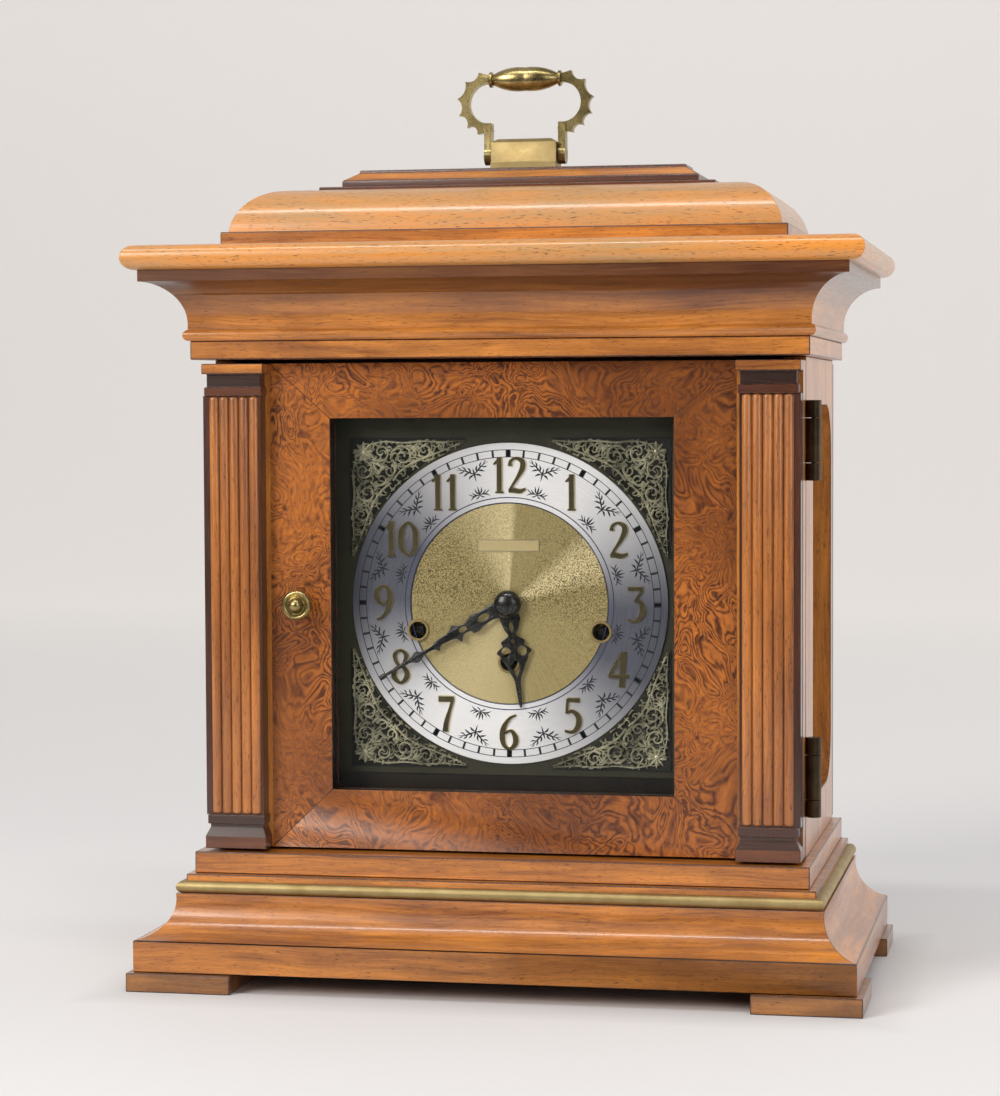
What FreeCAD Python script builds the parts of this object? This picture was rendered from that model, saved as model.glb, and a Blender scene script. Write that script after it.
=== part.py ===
"""Bracket mantel clock: moulded case with a bail handle, glazed front door and three-train movement.

The frame is in millimetres: X to the right, Y to the back, Z up, origin on the table under the
middle of the case. Every driving dimension is a cell of the sheet Sizes, every place worked out
from them is a cell of the sheet Levels, and the pieces are bound to those cells.
"""
import FreeCAD, Part
import ast
import math
import os
import re

import Sketcher
from FreeCAD import Placement, Rotation, Vector

os.makedirs("parts", exist_ok=True)
doc = FreeCAD.newDocument("BracketClock")

# Driving dimensions
SIZES = {
    # outline of the case
    "overall_depth": 198.4,
    "body_half_width": 149.8,
    "case_half_width": 145.3,
    "board_inset": 20.0,
    "overrun": 4.0,
    # feet and base mouldings, from the table up
    "foot_height": 9.1,
    "foot_width": 52.0,
    "foot_depth": 44.0,
    "foot_projection": 27.0,
    "plinth_height": 15.4,
    "plinth_projection": 24.0,
    "cove_height": 20.7,
    "cove_foot_projection": 23.2,
    "cove_head_projection": 7.5,
    "band_height": 5.8,
    "band_projection": 7.5,
    "step_projection": 3.4,
    "step_height": 9.0,
    "base_board_height": 10.6,
    "bottom_board_thickness": 9.0,
    # upper boards and cornice
    "opening_height": 239.0,
    "frieze_height": 9.1,
    "bead_height": 5.3,
    "bead_projection": 1.0,
    "quirk_height": 1.8,
    "quirk_projection": 0.8,
    "cornice_height": 21.0,
    "cornice_projection": 18.2,
    "fillet_height": 5.4,
    "fillet_projection": 19.7,
    "top_board_height": 11.9,
    "top_board_side_lap": 27.2,
    "top_board_front_lap": 25.0,
    # caddy on the top board
    "caddy_half_width": 138.2,
    "caddy_depth": 136.8,
    "caddy_setback": 13.4,
    "caddy_base_height": 7.6,
    "cushion_inset": 3.2,
    "cushion_height": 21.3,
    "cushion_run": 22.5,
    "tablet_inset": 39.2,
    "tablet_height": 2.5,
    "cap_inset": 48.6,
    "cap_height": 3.6,
    "cap_bevel_height": 4.3,
    "cap_bevel_run": 7.3,
    "cap_lip_height": 1.3,
    # side panels
    "side_thickness": 11.0,
    "side_opening_front_margin": 34.2,
    "side_opening_back_margin": 7.6,
    "side_opening_bottom_margin": 23.6,
    "side_opening_top_margin": 23.0,
    "side_opening_radius": 25.0,
    "cloth_thickness": 1.0,
    "cloth_lap": 6.0,
    # front door
    "pilaster_front_setback": 2.8,
    "door_edge_clearance": 0.1,
    "door_bottom_gap": 1.3,
    "door_top_gap": 1.9,
    "door_thickness": 12.0,
    "door_joint_gap": 0.8,
    "pilaster_depth": 10.9,
    "window_half_width": 83.8,
    "burl_half_width": 113.9,
    "bottom_rail_height": 28.7,
    "top_rail_height": 26.6,
    "rebate_width": 5.0,
    "rebate_lip": 6.0,
    "glass_thickness": 2.5,
    "glass_clearance": 0.3,
    "stop_thickness": 3.0,
    "stop_width": 4.5,
    # pilasters
    "pilaster_centre": 129.8,
    "shaft_width": 25.6,
    "shaft_backing": 8.2,
    "reed_inset": 1.0,
    "capital_width": 30.8,
    "capital_block_height": 5.0,
    "neck_width": 26.8,
    "neck_height": 6.4,
    "neck_recess": 2.2,
    "fillet_width": 28.7,
    "capital_fillet_height": 4.2,
    "fillet_recess": 0.8,
    "pedestal_slab_height": 5.8,
    "pedestal_bevel_height": 4.4,
    "pedestal_groove_height": 1.7,
    "pedestal_block_height": 4.5,
    # door knob
    "knob_rose_radius": 7.3,
    "knob_rose_height": 1.8,
    "knob_neck_radius": 3.4,
    "knob_neck_height": 6.2,
    "knob_rim_radius": 7.3,
    "knob_rim_height": 3.4,
    "knob_dish_radius": 5.9,
    "knob_dish_depth": 1.3,
    "knob_button_radius": 4.5,
    "knob_button_height": 3.6,
    # butt hinges of both doors
    "hinge_length": 38.0,
    "hinge_end_knuckle": 8.2,
    "hinge_knuckle_gap": 0.3,
    "hinge_barrel_radius": 3.6,
    "hinge_barrel_standoff": 0.1,
    "hinge_leaf_thickness": 1.2,
    "hinge_leaf_width": 11.0,
    "hinge_leaf_gap": 0.1,
    "hinge_pin_radius": 1.2,
    "pin_clearance": 0.05,
    "hinge_inset": 18.9,
    # back door
    "back_door_thickness": 6.0,
    "back_slot_width": 90.0,
    "back_slot_height": 5.0,
    "back_slot_pitch": 12.0,
    "back_pull_radius": 5.0,
    # bail handle
    "mount_half_width": 16.5,
    "mount_depth": 14.0,
    "mount_height": 12.9,
    "mount_flange_height": 3.2,
    "mount_flange_lip": 1.0,
    "mount_bevel_height": 1.9,
    "mount_bevel_run": 3.0,
    "pivot_height": 6.8,
    "trunnion_radius": 1.5,
    "leg_gap": 0.4,
    "leg_width": 3.6,
    "leg_depth": 7.0,
    "eye_radius": 4.6,
    "arm_centre_height": 32.8,
    "arm_centre_offset": 18.4,
    "arm_inner_radius": 9.9,
    "arm_outer_radius": 13.7,
    "arm_spike_radius": 16.2,
    "arm_thickness": 5.0,
    "grip_end_radius": 2.7,
    "grip_collar_radius": 3.9,
    "grip_middle_radius": 5.8,
    "grip_half_length": 18.6,
    "grip_collar_width": 2.4,
    # dial
    "dial_drop": 0.3,
    "dial_setback": 8.6,
    "dial_plate_thickness": 1.5,
    "dial_plate_half_width": 92.0,
    "dial_plate_bottom": 84.0,
    "dial_plate_top": 100.0,
    "dial_board_thickness": 8.0,
    "dial_board_rail": 62.0,
    "dial_board_stile": 76.0,
    "ring_outer_radius": 78.3,
    "ring_inner_radius": 49.0,
    "ring_thickness": 1.2,
    "centre_thickness": 0.8,
    "centre_clearance": 0.2,
    "spandrel_half_width": 79.6,
    "spandrel_half_height": 80.8,
    "spandrel_reach": 58.8,
    "spandrel_thickness": 2.0,
    "spandrel_gap": 1.2,
    "numeral_height": 17.6,
    "numeral_stroke": 2.7,
    "numeral_thickness": 1.0,
    "numeral_radius": 62.4,
    "winding_offset": 45.4,
    "winding_drop": 13.3,
    "centre_winding_drop": 28.5,
    "eyelet_radius": 5.4,
    "eyelet_bore": 4.2,
    "eyelet_height": 1.8,
    "dial_bore": 4.0,
    # hands
    "hand_thickness": 0.8,
    "hand_gap": 0.5,
    "hour_hand_standoff": 1.6,
    "hour_hand_length": 50.4,
    "hour_hand_width": 15.0,
    "minute_hand_length": 74.6,
    "minute_hand_width": 9.4,
    "hand_hub_radius": 5.6,
    "hand_nut_radius": 6.8,
    "hand_nut_height": 5.0,
    # movement
    "plate_half_width": 62.0,
    "plate_height": 108.0,
    "plate_drop": 60.0,
    "plate_thickness": 2.0,
    "plate_front_gap": 3.4,
    "plate_spacing": 46.0,
    "pillar_radius": 3.5,
    "pillar_inset": 5.0,
    "arbor_radius": 2.2,
    "winding_square": 3.6,
    "winding_tip_setback": 2.2,
    "running_clearance": 0.05,
    "barrel_radius": 19.4,
    "barrel_length": 20.0,
    "great_wheel_thickness": 3.0,
    "great_wheel_gap": 1.0,
    "going_module": 0.5,
    "chime_module": 0.6,
    "motion_module": 0.5,
    "hour_module": 0.48,
    "centre_arbor_radius": 1.0,
    "cannon_radius": 1.9,
    "hour_pipe_radius": 3.0,
    "stud_radius": 1.2,
    "wheel_thickness": 1.6,
    "drum_radius": 7.0,
    "drum_length": 34.0,
    "drum_pin_radius": 0.6,
    "drum_pin_height": 1.6,
    "balance_radius": 9.0,
    "balance_rim": 1.6,
    "balance_height": 30.0,
    "balance_offset": 22.0,
    "balance_arbor_radius": 0.6,
    # chime
    "rod_radius": 1.6,
    "rod_length": 196.0,
    "rod_pitch": 8.0,
    "rod_height": 24.0,
    "rod_block_length": 24.0,
    "rod_block_width": 38.0,
    "rod_block_height": 32.0,
    "rod_block_side_gap": 16.3,
    "rod_block_setback": 12.0,
    "hammer_arm_thickness": 2.0,
    "hammer_arm_width": 3.0,
    "hammer_head_radius": 3.5,
    "hammer_head_height": 10.0,
    "hammer_rest_gap": 0.3,
    "hammer_reach": 26.0,
    "hammer_pivot_offset": 34.0,
    "hammer_pivot_height": 36.0,
    "hammer_pivot_radius": 1.5,
    "hammer_boss_radius": 3.6,
    "hammer_boss_length": 5.0,
}

# Places worked out from the driving dimensions
LEVELS = {
    "back_face": "overall_depth / 2",
    "body_front": "foot_projection - overall_depth / 2",
    "plinth_top": "foot_height + plinth_height",
    "cove_top": "plinth_top + cove_height",
    "step_top": "cove_top + step_height",
    "base_top": "step_top + base_board_height",
    "frieze_bottom": "base_top + opening_height",
    "frieze_top": "frieze_bottom + frieze_height",
    "bead_top": "frieze_top + bead_height",
    "quirk_top": "bead_top + quirk_height",
    "cornice_top": "quirk_top + cornice_height",
    "top_board_bottom": "cornice_top + fillet_height",
    "top_board_top": "top_board_bottom + top_board_height",
    "caddy_front": "body_front + caddy_setback",
    "caddy_back": "caddy_front + caddy_depth",
    "caddy_middle": "caddy_front + caddy_depth / 2",
    "caddy_base_top": "top_board_top + caddy_base_height",
    "cushion_top": "caddy_base_top + cushion_height",
    "tablet_top": "cushion_top + tablet_height",
    "cap_top": "tablet_top + cap_height",
    "cap_bevel_top": "cap_top + cap_bevel_height",
    "cap_lip_top": "cap_bevel_top + cap_lip_height",
    "side_inner": "case_half_width - side_thickness",
    "capital_face": "body_front + pilaster_front_setback",
    "burl_face": "capital_face + pilaster_depth",
    "door_back": "burl_face + door_thickness",
    "case_front": "door_back + door_joint_gap",
    "door_half": "case_half_width - door_edge_clearance",
    "door_bottom": "base_top + door_bottom_gap",
    "door_top": "frieze_bottom - door_top_gap",
    "window_bottom": "door_bottom + bottom_rail_height",
    "window_top": "door_top - top_rail_height",
    "window_middle": "(window_bottom + window_top) / 2",
    "glass_front": "burl_face + rebate_lip",
    "glass_back": "glass_front + glass_thickness",
    "knob_centre": "(window_half_width + burl_half_width) / 2",
    "back_door_front": "back_face - back_door_thickness",
    "case_back": "back_door_front - door_joint_gap",
    "side_opening_front": "case_front + side_opening_front_margin",
    "side_opening_back": "case_back - side_opening_back_margin",
    "side_opening_bottom": "base_top + side_opening_bottom_margin",
    "side_opening_top": "frieze_bottom - side_opening_top_margin",
    "hinge_axis_offset": "case_half_width + hinge_barrel_standoff + hinge_barrel_radius",
    "front_hinge_line": "door_back + door_joint_gap / 2",
    "back_hinge_line": "case_back + door_joint_gap / 2",
    "shaft_bottom": "door_bottom + pedestal_slab_height + pedestal_bevel_height"
                    " + pedestal_groove_height + pedestal_block_height",
    "shaft_top": "door_top - capital_block_height - neck_height - capital_fillet_height",
    "pivot_level": "cap_lip_top + pivot_height",
    "arm_level": "cap_lip_top + arm_centre_height",
    "grip_level": "arm_level + (arm_inner_radius + arm_outer_radius) / 2",
    "leg_inner": "mount_half_width + leg_gap",
    "dial_face": "case_front + dial_setback",
    "dial_back": "dial_face + dial_plate_thickness",
    "dial_board_back": "dial_back + dial_board_thickness",
    "dial_level": "window_middle - dial_drop",
    "winding_level": "dial_level - winding_drop",
    "centre_winding_level": "dial_level - centre_winding_drop",
    "centre_face": "dial_face - centre_thickness",
    "hour_hand_back": "centre_face - hour_hand_standoff",
    "hour_hand_front": "hour_hand_back - hand_thickness",
    "minute_hand_back": "hour_hand_front - hand_gap",
    "minute_hand_front": "minute_hand_back - hand_thickness",
    "plate_front": "dial_board_back + plate_front_gap",
    "plate_inner": "plate_front + plate_thickness",
    "back_plate_front": "plate_inner + plate_spacing",
    "back_plate_back": "back_plate_front + plate_thickness",
    "plate_bottom": "dial_level - plate_drop",
    "plate_top": "plate_bottom + plate_height",
    "winding_tip": "dial_face + winding_tip_setback",
    "rod_level": "base_top + rod_height",
    "rod_block_offset": "side_inner - rod_block_side_gap",
    "rod_first_line": "back_plate_back + rod_block_setback",
    "hammer_pivot_level": "rod_level + hammer_pivot_height + hammer_head_height",
    "hammer_pivot_place": "-hammer_pivot_offset",
}

# Tooth counts
GREAT_TEETH = 102
CENTRE_TEETH = 12
CHIME_TEETH = 80
DRUM_TEETH = 30
CANNON_TEETH = 12
MINUTE_WHEEL_TEETH = 36
MINUTE_PINION_TEETH = 10
HOUR_WHEEL_TEETH = 40

WORD = re.compile(r"[a-z][a-z_]*")


def write_sheet(label, cells):
    sheet = doc.addObject("Spreadsheet::Sheet", label)
    for row, (name, text) in enumerate(cells.items(), start=1):
        sheet.set(f"A{row}", name)
        sheet.set(f"B{row}", text)
        sheet.setAlias(f"B{row}", name)
    return sheet


def linked(text):
    """The same sum, with each name pointing at its cell."""
    def cell(match):
        name = match.group(0)
        if name in SIZES:
            return f"Sizes.{name}"
        return f"Levels.{name}" if name in LEVELS else name
    return WORD.sub(cell, text)


def worked(node):
    if isinstance(node, ast.Constant):
        return float(node.value)
    if isinstance(node, ast.Name):
        return size(node.id)
    if isinstance(node, ast.UnaryOp):
        return -worked(node.operand)
    left = worked(node.left)
    right = worked(node.right)
    if isinstance(node.op, ast.Add):
        return left + right
    if isinstance(node.op, ast.Sub):
        return left - right
    return left * right if isinstance(node.op, ast.Mult) else left / right


def value(text):
    """What a sum over the sheets' names comes to, in millimetres."""
    return worked(ast.parse(text.strip()).body[0].value)


def size(name):
    if name in SIZES:
        return float(sizes.get(name))
    return float(levels.get(name))


sizes = write_sheet("Sizes", {name: str(number) for name, number in SIZES.items()})
levels = write_sheet("Levels", {name: "=" + WORD.sub(
    lambda match: ("Sizes." if match.group(0) in SIZES else "") + match.group(0), text)
    for name, text in LEVELS.items()})
doc.recompute()

sub_parts = {}


def keep(label, item):
    item.Label = label
    sub_parts[label] = item
    return item


def place(item, x="0", y="0", z="0", rotation=None):
    if rotation is not None:
        item.Placement = Placement(Vector(0, 0, 0), rotation)
    for axis, text in (("x", x), ("y", y), ("z", z)):
        if text != "0":
            item.setExpression(f"Placement.Base.{axis}", linked(text))
    return item


def box(name, x, y, z):
    """A block between three pairs of low and high places."""
    item = doc.addObject("Part::Box", name)
    place(item, x[0], y[0], z[0])
    for side, (low, high) in (("Length", x), ("Width", y), ("Height", z)):
        item.setExpression(side, linked(f"{high} - ({low})"))
    return item


UP = Rotation()
TO_BACK = Rotation(Vector(1, 0, 0), -90)
TO_FRONT = Rotation(Vector(1, 0, 0), 90)
TO_RIGHT = Rotation(Vector(0, 1, 0), 90)


def cylinder(name, radius, length, x="0", y="0", z="0", way=UP):
    item = doc.addObject("Part::Cylinder", name)
    item.setExpression("Radius", linked(radius))
    item.setExpression("Height", linked(length))
    return place(item, x, y, z, way)


def wedge(name, low_half, high_half, low_depth, high_depth, height, y, z, x="0"):
    """A bevelled block about x and y, with its narrow face up."""
    item = doc.addObject("Part::Wedge", name)
    for side, text in (("Xmin", f"-({low_half})"), ("Xmax", low_half), ("X2min", f"-({high_half})"),
                       ("X2max", high_half), ("Zmin", f"-({low_depth})"), ("Zmax", low_depth),
                       ("Z2min", f"-({high_depth})"), ("Z2max", high_depth), ("Ymin", "0"),
                       ("Ymax", height)):
        item.setExpression(side, linked(text))
    return place(item, x, y, z, TO_FRONT)


def fuse(name, *items):
    item = doc.addObject("Part::MultiFuse", name)
    item.Shapes = list(items)
    item.Refine = True
    return item


def cut(name, base, *tools):
    for number, tool in enumerate(tools):
        item = doc.addObject("Part::Cut", f"{name}_cut_{number}")
        item.Base = base
        item.Tool = tool
        base = item
    return base


def common(name, base, tool):
    item = doc.addObject("Part::Common", name)
    item.Base = base
    item.Tool = tool
    return item


def group(label, *items):
    item = doc.addObject("Part::Compound", label)
    item.Links = list(items)
    return keep(label, item)


def mirrored(item):
    """The same piece on the other side of the case."""
    twin = doc.addObject("Part::Mirroring", item.Name + "_mirrored")
    twin.Source = item
    twin.Normal = Vector(1, 0, 0)
    return twin


def shaped(name, shape):
    item = doc.addObject("Part::Feature", name)
    item.Shape = shape
    return item


def origin_plane(body, role):
    return next(item for item in body.Origin.OriginFeatures if item.Role == role)


def arc_middle(start, end, bow):
    chord = end - start
    left = Vector(-chord.y, chord.x, 0)
    return (start + end) / 2 + left * (bow / 2)


def arc_centre(start, end):
    """Which way to fix a bowed edge's centre, and the sum that gives its place."""
    lean = (start[2] ** 2 - 1) / (4 * start[2])
    run = f"(({end[0]}) - ({start[0]}))"
    rise = f"(({end[1]}) - ({start[1]}))"
    if abs(value(rise)) > abs(value(run)):
        return "DistanceX", f"(({start[0]}) + ({end[0]})) / 2 - {rise} * ({lean:.9f})"
    return "DistanceY", f"(({start[1]}) + ({end[1]})) / 2 + {run} * ({lean:.9f})"


def sketch(body, role, name, points, offset="0"):
    """A closed outline on an origin plane. A point is (across, up), and a third entry bows the edge
    after it to the left, by that share of half its chord. A sketch keeps its arcs anticlockwise, so an
    edge that bows to the left is drawn from its far end."""
    item = body.newObject("Sketcher::SketchObject", name)
    item.AttachmentSupport = [(origin_plane(body, role), "")]
    item.MapMode = "FlatFace"
    if offset != "0":
        item.setExpression("AttachmentOffset.Base.z", linked(offset))
    spots = [Vector(value(point[0]), value(point[1]), 0) for point in points]
    starts = []
    for number, point in enumerate(points):
        here = spots[number]
        after = spots[(number + 1) % len(spots)]
        if len(point) == 2:
            edge = Part.LineSegment(here, after)
        elif point[2] < 0:
            edge = Part.Arc(here, arc_middle(here, after, point[2]), after)
        else:
            edge = Part.Arc(after, arc_middle(here, after, point[2]), here)
        item.addGeometry(edge)
        starts.append(2 if len(point) == 3 and point[2] > 0 else 1)
    for number, point in enumerate(points):
        before = (number - 1) % len(points)
        item.addConstraint(Sketcher.Constraint("Coincident", before, 3 - starts[before],
                                               number, starts[number]))
        for way, text, spot in (("DistanceX", point[0], spots[number].x),
                                ("DistanceY", point[1], spots[number].y)):
            row = item.addConstraint(Sketcher.Constraint(way, -1, 1, number, starts[number], spot))
            item.setExpression(f"Constraints[{row}]", linked(text))
        if len(point) == 3:
            after = points[(number + 1) % len(points)]
            way, text = arc_centre(point, after)
            row = item.addConstraint(Sketcher.Constraint(way, -1, 1, number, 3, value(text)))
            item.setExpression(f"Constraints[{row}]", linked(text))
    return item


def pad(name, role, points, length, offset="0", both=False, back=False):
    """A body padded from one outline, square to its plane."""
    body = doc.addObject("PartDesign::Body", name)
    profile = sketch(body, role, name + "_outline", points, offset)
    item = body.newObject("PartDesign::Pad", name + "_pad")
    item.Profile = profile
    item.SideType = "Symmetric" if both else "One side"
    item.Reversed = back
    item.setExpression("Length", linked(length))
    profile.Visibility = False
    return body


def pocket(body, name, role, points):
    """Cut an outline right through a body, both ways."""
    item = body.newObject("PartDesign::Pocket", name)
    item.Profile = sketch(body, role, name + "_outline", points)
    item.SideType = "Symmetric"
    item.Type = "ThroughAll"
    return item


def turned(name, points, x="0", y="0", z="0", way=UP):
    """A body turned about its own Z axis from (radius, height) points."""
    body = doc.addObject("PartDesign::Body", name)
    profile = sketch(body, "XZ_Plane", name + "_outline", points)
    item = body.newObject("PartDesign::Revolution", name + "_turning")
    item.Profile = profile
    item.ReferenceAxis = (profile, ["V_Axis"])
    item.Angle = 360
    return place(body, x, y, z, way)


def rectangle(low_u, high_u, low_v, high_v):
    return [(low_u, low_v), (high_u, low_v), (high_u, high_v), (low_u, high_v)]


# Shares of half a chord by which the mouldings' edges bow
COVE_BOW = 0.42
BEAD_BOW = 0.72
CORNICE_BOW = 0.39
CUSHION_BOW = 0.36
NOSE_BOW = 0.93

# How deep a rounded nose is, as a share of its board's height
NOSE_SHARE = 0.47


# Mouldings that go round the front and both sides, with mitred corners
def moulding(name, profile, inner="0"):
    """Front, right and left strips of one profile. The profile's points are (projection from the body,
    height); inner is how far the strips reach in behind the body's face."""
    front_points = [(f"body_front - ({point[0]})", point[1], *[-bow for bow in point[2:]])
                    for point in profile]
    side_points = [(f"body_half_width + ({point[0]})", *point[1:]) for point in profile]
    widest = f"(body_half_width + foot_projection + {inner} + overrun)"
    front = pad(name + "_front", "YZ_Plane", front_points, f"2 * {widest}", both=True)
    corner = ("body_half_width + foot_projection + overrun", "body_front - foot_projection - overrun")
    inside = (f"body_half_width - {inner} - overrun", f"body_front + {inner} + overrun")
    pocket(front, name + "_right_mitre", "XY_Plane",
           [corner, (f"{corner[0]} + {inner} + overrun", corner[1]),
            (f"{corner[0]} + {inner} + overrun", inside[1]), inside])
    pocket(front, name + "_left_mitre", "XY_Plane",
           [(f"-({u})", v) for u, v in
            [corner, (f"{corner[0]} + {inner} + overrun", corner[1]),
             (f"{corner[0]} + {inner} + overrun", inside[1]), inside]])
    right = pad(name + "_right", "XZ_Plane", side_points, "overall_depth + overrun",
                offset="overall_depth / 2 + overrun", back=True)
    pocket(right, name + "_side_mitre", "XY_Plane",
           [corner, inside, (inside[0], f"{corner[1]} - overrun"), (corner[0], f"{corner[1]} - overrun")])
    return front, right, mirrored(right)


def back_rail(name, low, high, inner="0"):
    """The plain rail that closes a moulded frame between its sides, at the back."""
    return box(name, (f"{inner} - body_half_width", f"body_half_width - {inner}"),
               ("back_face - side_thickness", "back_face"), (low, high))


def base_of_case():
    foot = box("foot_front_right",
               ("body_half_width + foot_projection - foot_width", "body_half_width + foot_projection"),
               ("body_front - foot_projection", "body_front - foot_projection + foot_width"),
               ("0", "foot_height"))
    rear = box("foot_rear_right",
               ("body_half_width + foot_projection - foot_width", "body_half_width + foot_projection"),
               ("back_face - foot_depth", "back_face"), ("0", "foot_height"))
    group("corner_feet", foot, mirrored(foot), rear, mirrored(rear))

    plinth = moulding("plinth", [("plinth_projection", "foot_height"), ("plinth_projection", "plinth_top"),
                                 ("0", "plinth_top"), ("0", "foot_height")])
    group("plinth_rails", *plinth, back_rail("plinth_back", "foot_height", "plinth_top"))
    keep("bottom_board", box("bottom_board_block", ("-body_half_width", "body_half_width"),
                             ("body_front", "back_face - side_thickness"),
                             ("plinth_top - bottom_board_thickness", "plinth_top")))
    cove = moulding("cove", [("0", "plinth_top"), ("cove_foot_projection", "plinth_top", COVE_BOW),
                             ("cove_head_projection", "cove_top"), ("0", "cove_top")])
    group("base_coves", *cove, back_rail("cove_back", "plinth_top", "cove_top"))

    nose = f"band_height * {NOSE_SHARE}"
    band = moulding("band", [("step_projection", "cove_top"),
                             (f"band_projection - {nose}", "cove_top", -NOSE_BOW),
                             (f"band_projection - {nose}", "cove_top + band_height"),
                             ("step_projection", "cove_top + band_height")])
    group("brass_bands", *band)
    keep("step_board", box("step_board_block",
                           ("-body_half_width - step_projection", "body_half_width + step_projection"),
                           ("body_front - step_projection", "back_face"), ("cove_top", "step_top")))
    keep("base_board", box("base_board_block", ("-body_half_width", "body_half_width"),
                           ("body_front", "back_face"), ("step_top", "base_top")))


def top_of_case():
    keep("frieze_board", box("frieze_board_block", ("-body_half_width", "body_half_width"),
                             ("body_front", "back_face"), ("frieze_bottom", "frieze_top")))
    cornice = moulding("cornice", [("-board_inset", "frieze_top"),
                                   ("bead_projection", "frieze_top", -BEAD_BOW),
                                   ("bead_projection", "bead_top"), ("quirk_projection", "bead_top"),
                                   ("quirk_projection", "quirk_top", CORNICE_BOW),
                                   ("cornice_projection", "cornice_top"),
                                   ("fillet_projection", "cornice_top"),
                                   ("fillet_projection", "top_board_bottom"),
                                   ("-board_inset", "top_board_bottom")], "board_inset")
    group("cornice_mouldings", *cornice,
          back_rail("cornice_back", "frieze_top", "top_board_bottom", "board_inset"))

    # the top board's nose runs round the front and the sides
    nose = f"top_board_height * {NOSE_SHARE}"
    along = pad("top_board_along", "YZ_Plane",
                [(f"body_front - top_board_front_lap + {nose}", "top_board_bottom"),
                 ("back_face", "top_board_bottom"), ("back_face", "top_board_top"),
                 (f"body_front - top_board_front_lap + {nose}", "top_board_top", -NOSE_BOW)],
                "2 * (body_half_width + top_board_side_lap)", both=True)
    half = f"(body_half_width + top_board_side_lap - {nose})"
    across = pad("top_board_across", "XZ_Plane",
                 [(f"-{half}", "top_board_bottom"), (half, "top_board_bottom", -NOSE_BOW),
                  (half, "top_board_top"), (f"-{half}", "top_board_top", -NOSE_BOW)],
                 "2 * overall_depth", both=True)
    keep("top_board", common("top_board_block", along, across))


def caddy():
    keep("caddy_base", box("caddy_base_block", ("-caddy_half_width", "caddy_half_width"),
                           ("caddy_front", "caddy_back"), ("top_board_top", "caddy_base_top")))
    foot = "(caddy_half_width - cushion_inset)"
    head = "(caddy_half_width - cushion_inset - cushion_run)"
    across = pad("cushion_across", "XZ_Plane",
                 [(f"-{foot}", "caddy_base_top"), (foot, "caddy_base_top", -CUSHION_BOW),
                  (head, "cushion_top"), (f"-{head}", "cushion_top", -CUSHION_BOW)],
                 "2 * overall_depth", both=True)
    along = pad("cushion_along", "YZ_Plane",
                [("caddy_front + cushion_inset", "caddy_base_top"),
                 ("caddy_back - cushion_inset", "caddy_base_top", -CUSHION_BOW),
                 ("caddy_back - cushion_inset - cushion_run", "cushion_top"),
                 ("caddy_front + cushion_inset + cushion_run", "cushion_top", -CUSHION_BOW)],
                "2 * caddy_half_width", both=True)
    keep("caddy_cushion", common("cushion_block", across, along))

    tablet = box("tablet", ("tablet_inset - caddy_half_width", "caddy_half_width - tablet_inset"),
                 ("caddy_front + tablet_inset", "caddy_back - tablet_inset"), ("cushion_top", "tablet_top"))
    lower = box("cap_lower", ("cap_inset - caddy_half_width", "caddy_half_width - cap_inset"),
                ("caddy_front + cap_inset", "caddy_back - cap_inset"), ("tablet_top", "cap_top"))
    bevel = wedge("cap_bevel", "caddy_half_width - cap_inset", "caddy_half_width - cap_inset - cap_bevel_run",
                  "caddy_depth / 2 - cap_inset", "caddy_depth / 2 - cap_inset - cap_bevel_run",
                  "cap_bevel_height", "caddy_middle", "cap_top")
    lip = box("cap_lip", ("cap_inset + cap_bevel_run - caddy_half_width",
                          "caddy_half_width - cap_inset - cap_bevel_run"),
              ("caddy_front + cap_inset + cap_bevel_run", "caddy_back - cap_inset - cap_bevel_run"),
              ("cap_bevel_top", "cap_lip_top"))
    keep("caddy_cap", fuse("cap_block", tablet, lower, bevel, lip))


# Hinges

def hinge_spans(level):
    """Heights of the bottom, middle and top knuckles of a hinge about a level."""
    low = f"({level} - hinge_length / 2)"
    high = f"({level} + hinge_length / 2)"
    return {"bottom": (low, f"{low} + hinge_end_knuckle"),
            "middle": (f"{low} + hinge_end_knuckle + hinge_knuckle_gap",
                       f"{high} - hinge_end_knuckle - hinge_knuckle_gap"),
            "top": (f"{high} - hinge_end_knuckle", high)}


FRONT_LEVELS = ("door_bottom + hinge_inset + hinge_length / 2", "door_top - hinge_inset - hinge_length / 2")


def hinge_leaf(name, level, line, behind, knuckles):
    """A leaf on the right side of the case, with the named knuckles on its barrel line."""
    spans = hinge_spans(level)
    if behind:
        faces = (f"{line} + hinge_leaf_gap / 2", f"{line} + hinge_leaf_gap / 2 + hinge_leaf_thickness")
    else:
        faces = (f"{line} - hinge_leaf_gap / 2 - hinge_leaf_thickness", f"{line} - hinge_leaf_gap / 2")
    plate = box(name + "_plate", ("door_half - hinge_leaf_width", "door_half"), faces,
                (spans["bottom"][0], spans["top"][1]))
    pieces = [plate]
    for part in knuckles:
        low, high = spans[part]
        pieces.append(box(f"{name}_{part}_tab", ("door_half", "hinge_axis_offset"), faces, (low, high)))
        pieces.append(cylinder(f"{name}_{part}_knuckle", "hinge_barrel_radius", f"{high} - ({low})",
                               "hinge_axis_offset", line, low))
    whole = fuse(name + "_whole", *pieces)
    bore = cylinder(name + "_bore", "hinge_pin_radius + pin_clearance", "hinge_length + 2 * overrun",
                    "hinge_axis_offset", line, f"{level} - hinge_length / 2 - overrun")
    return cut(name, whole, bore)


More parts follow.
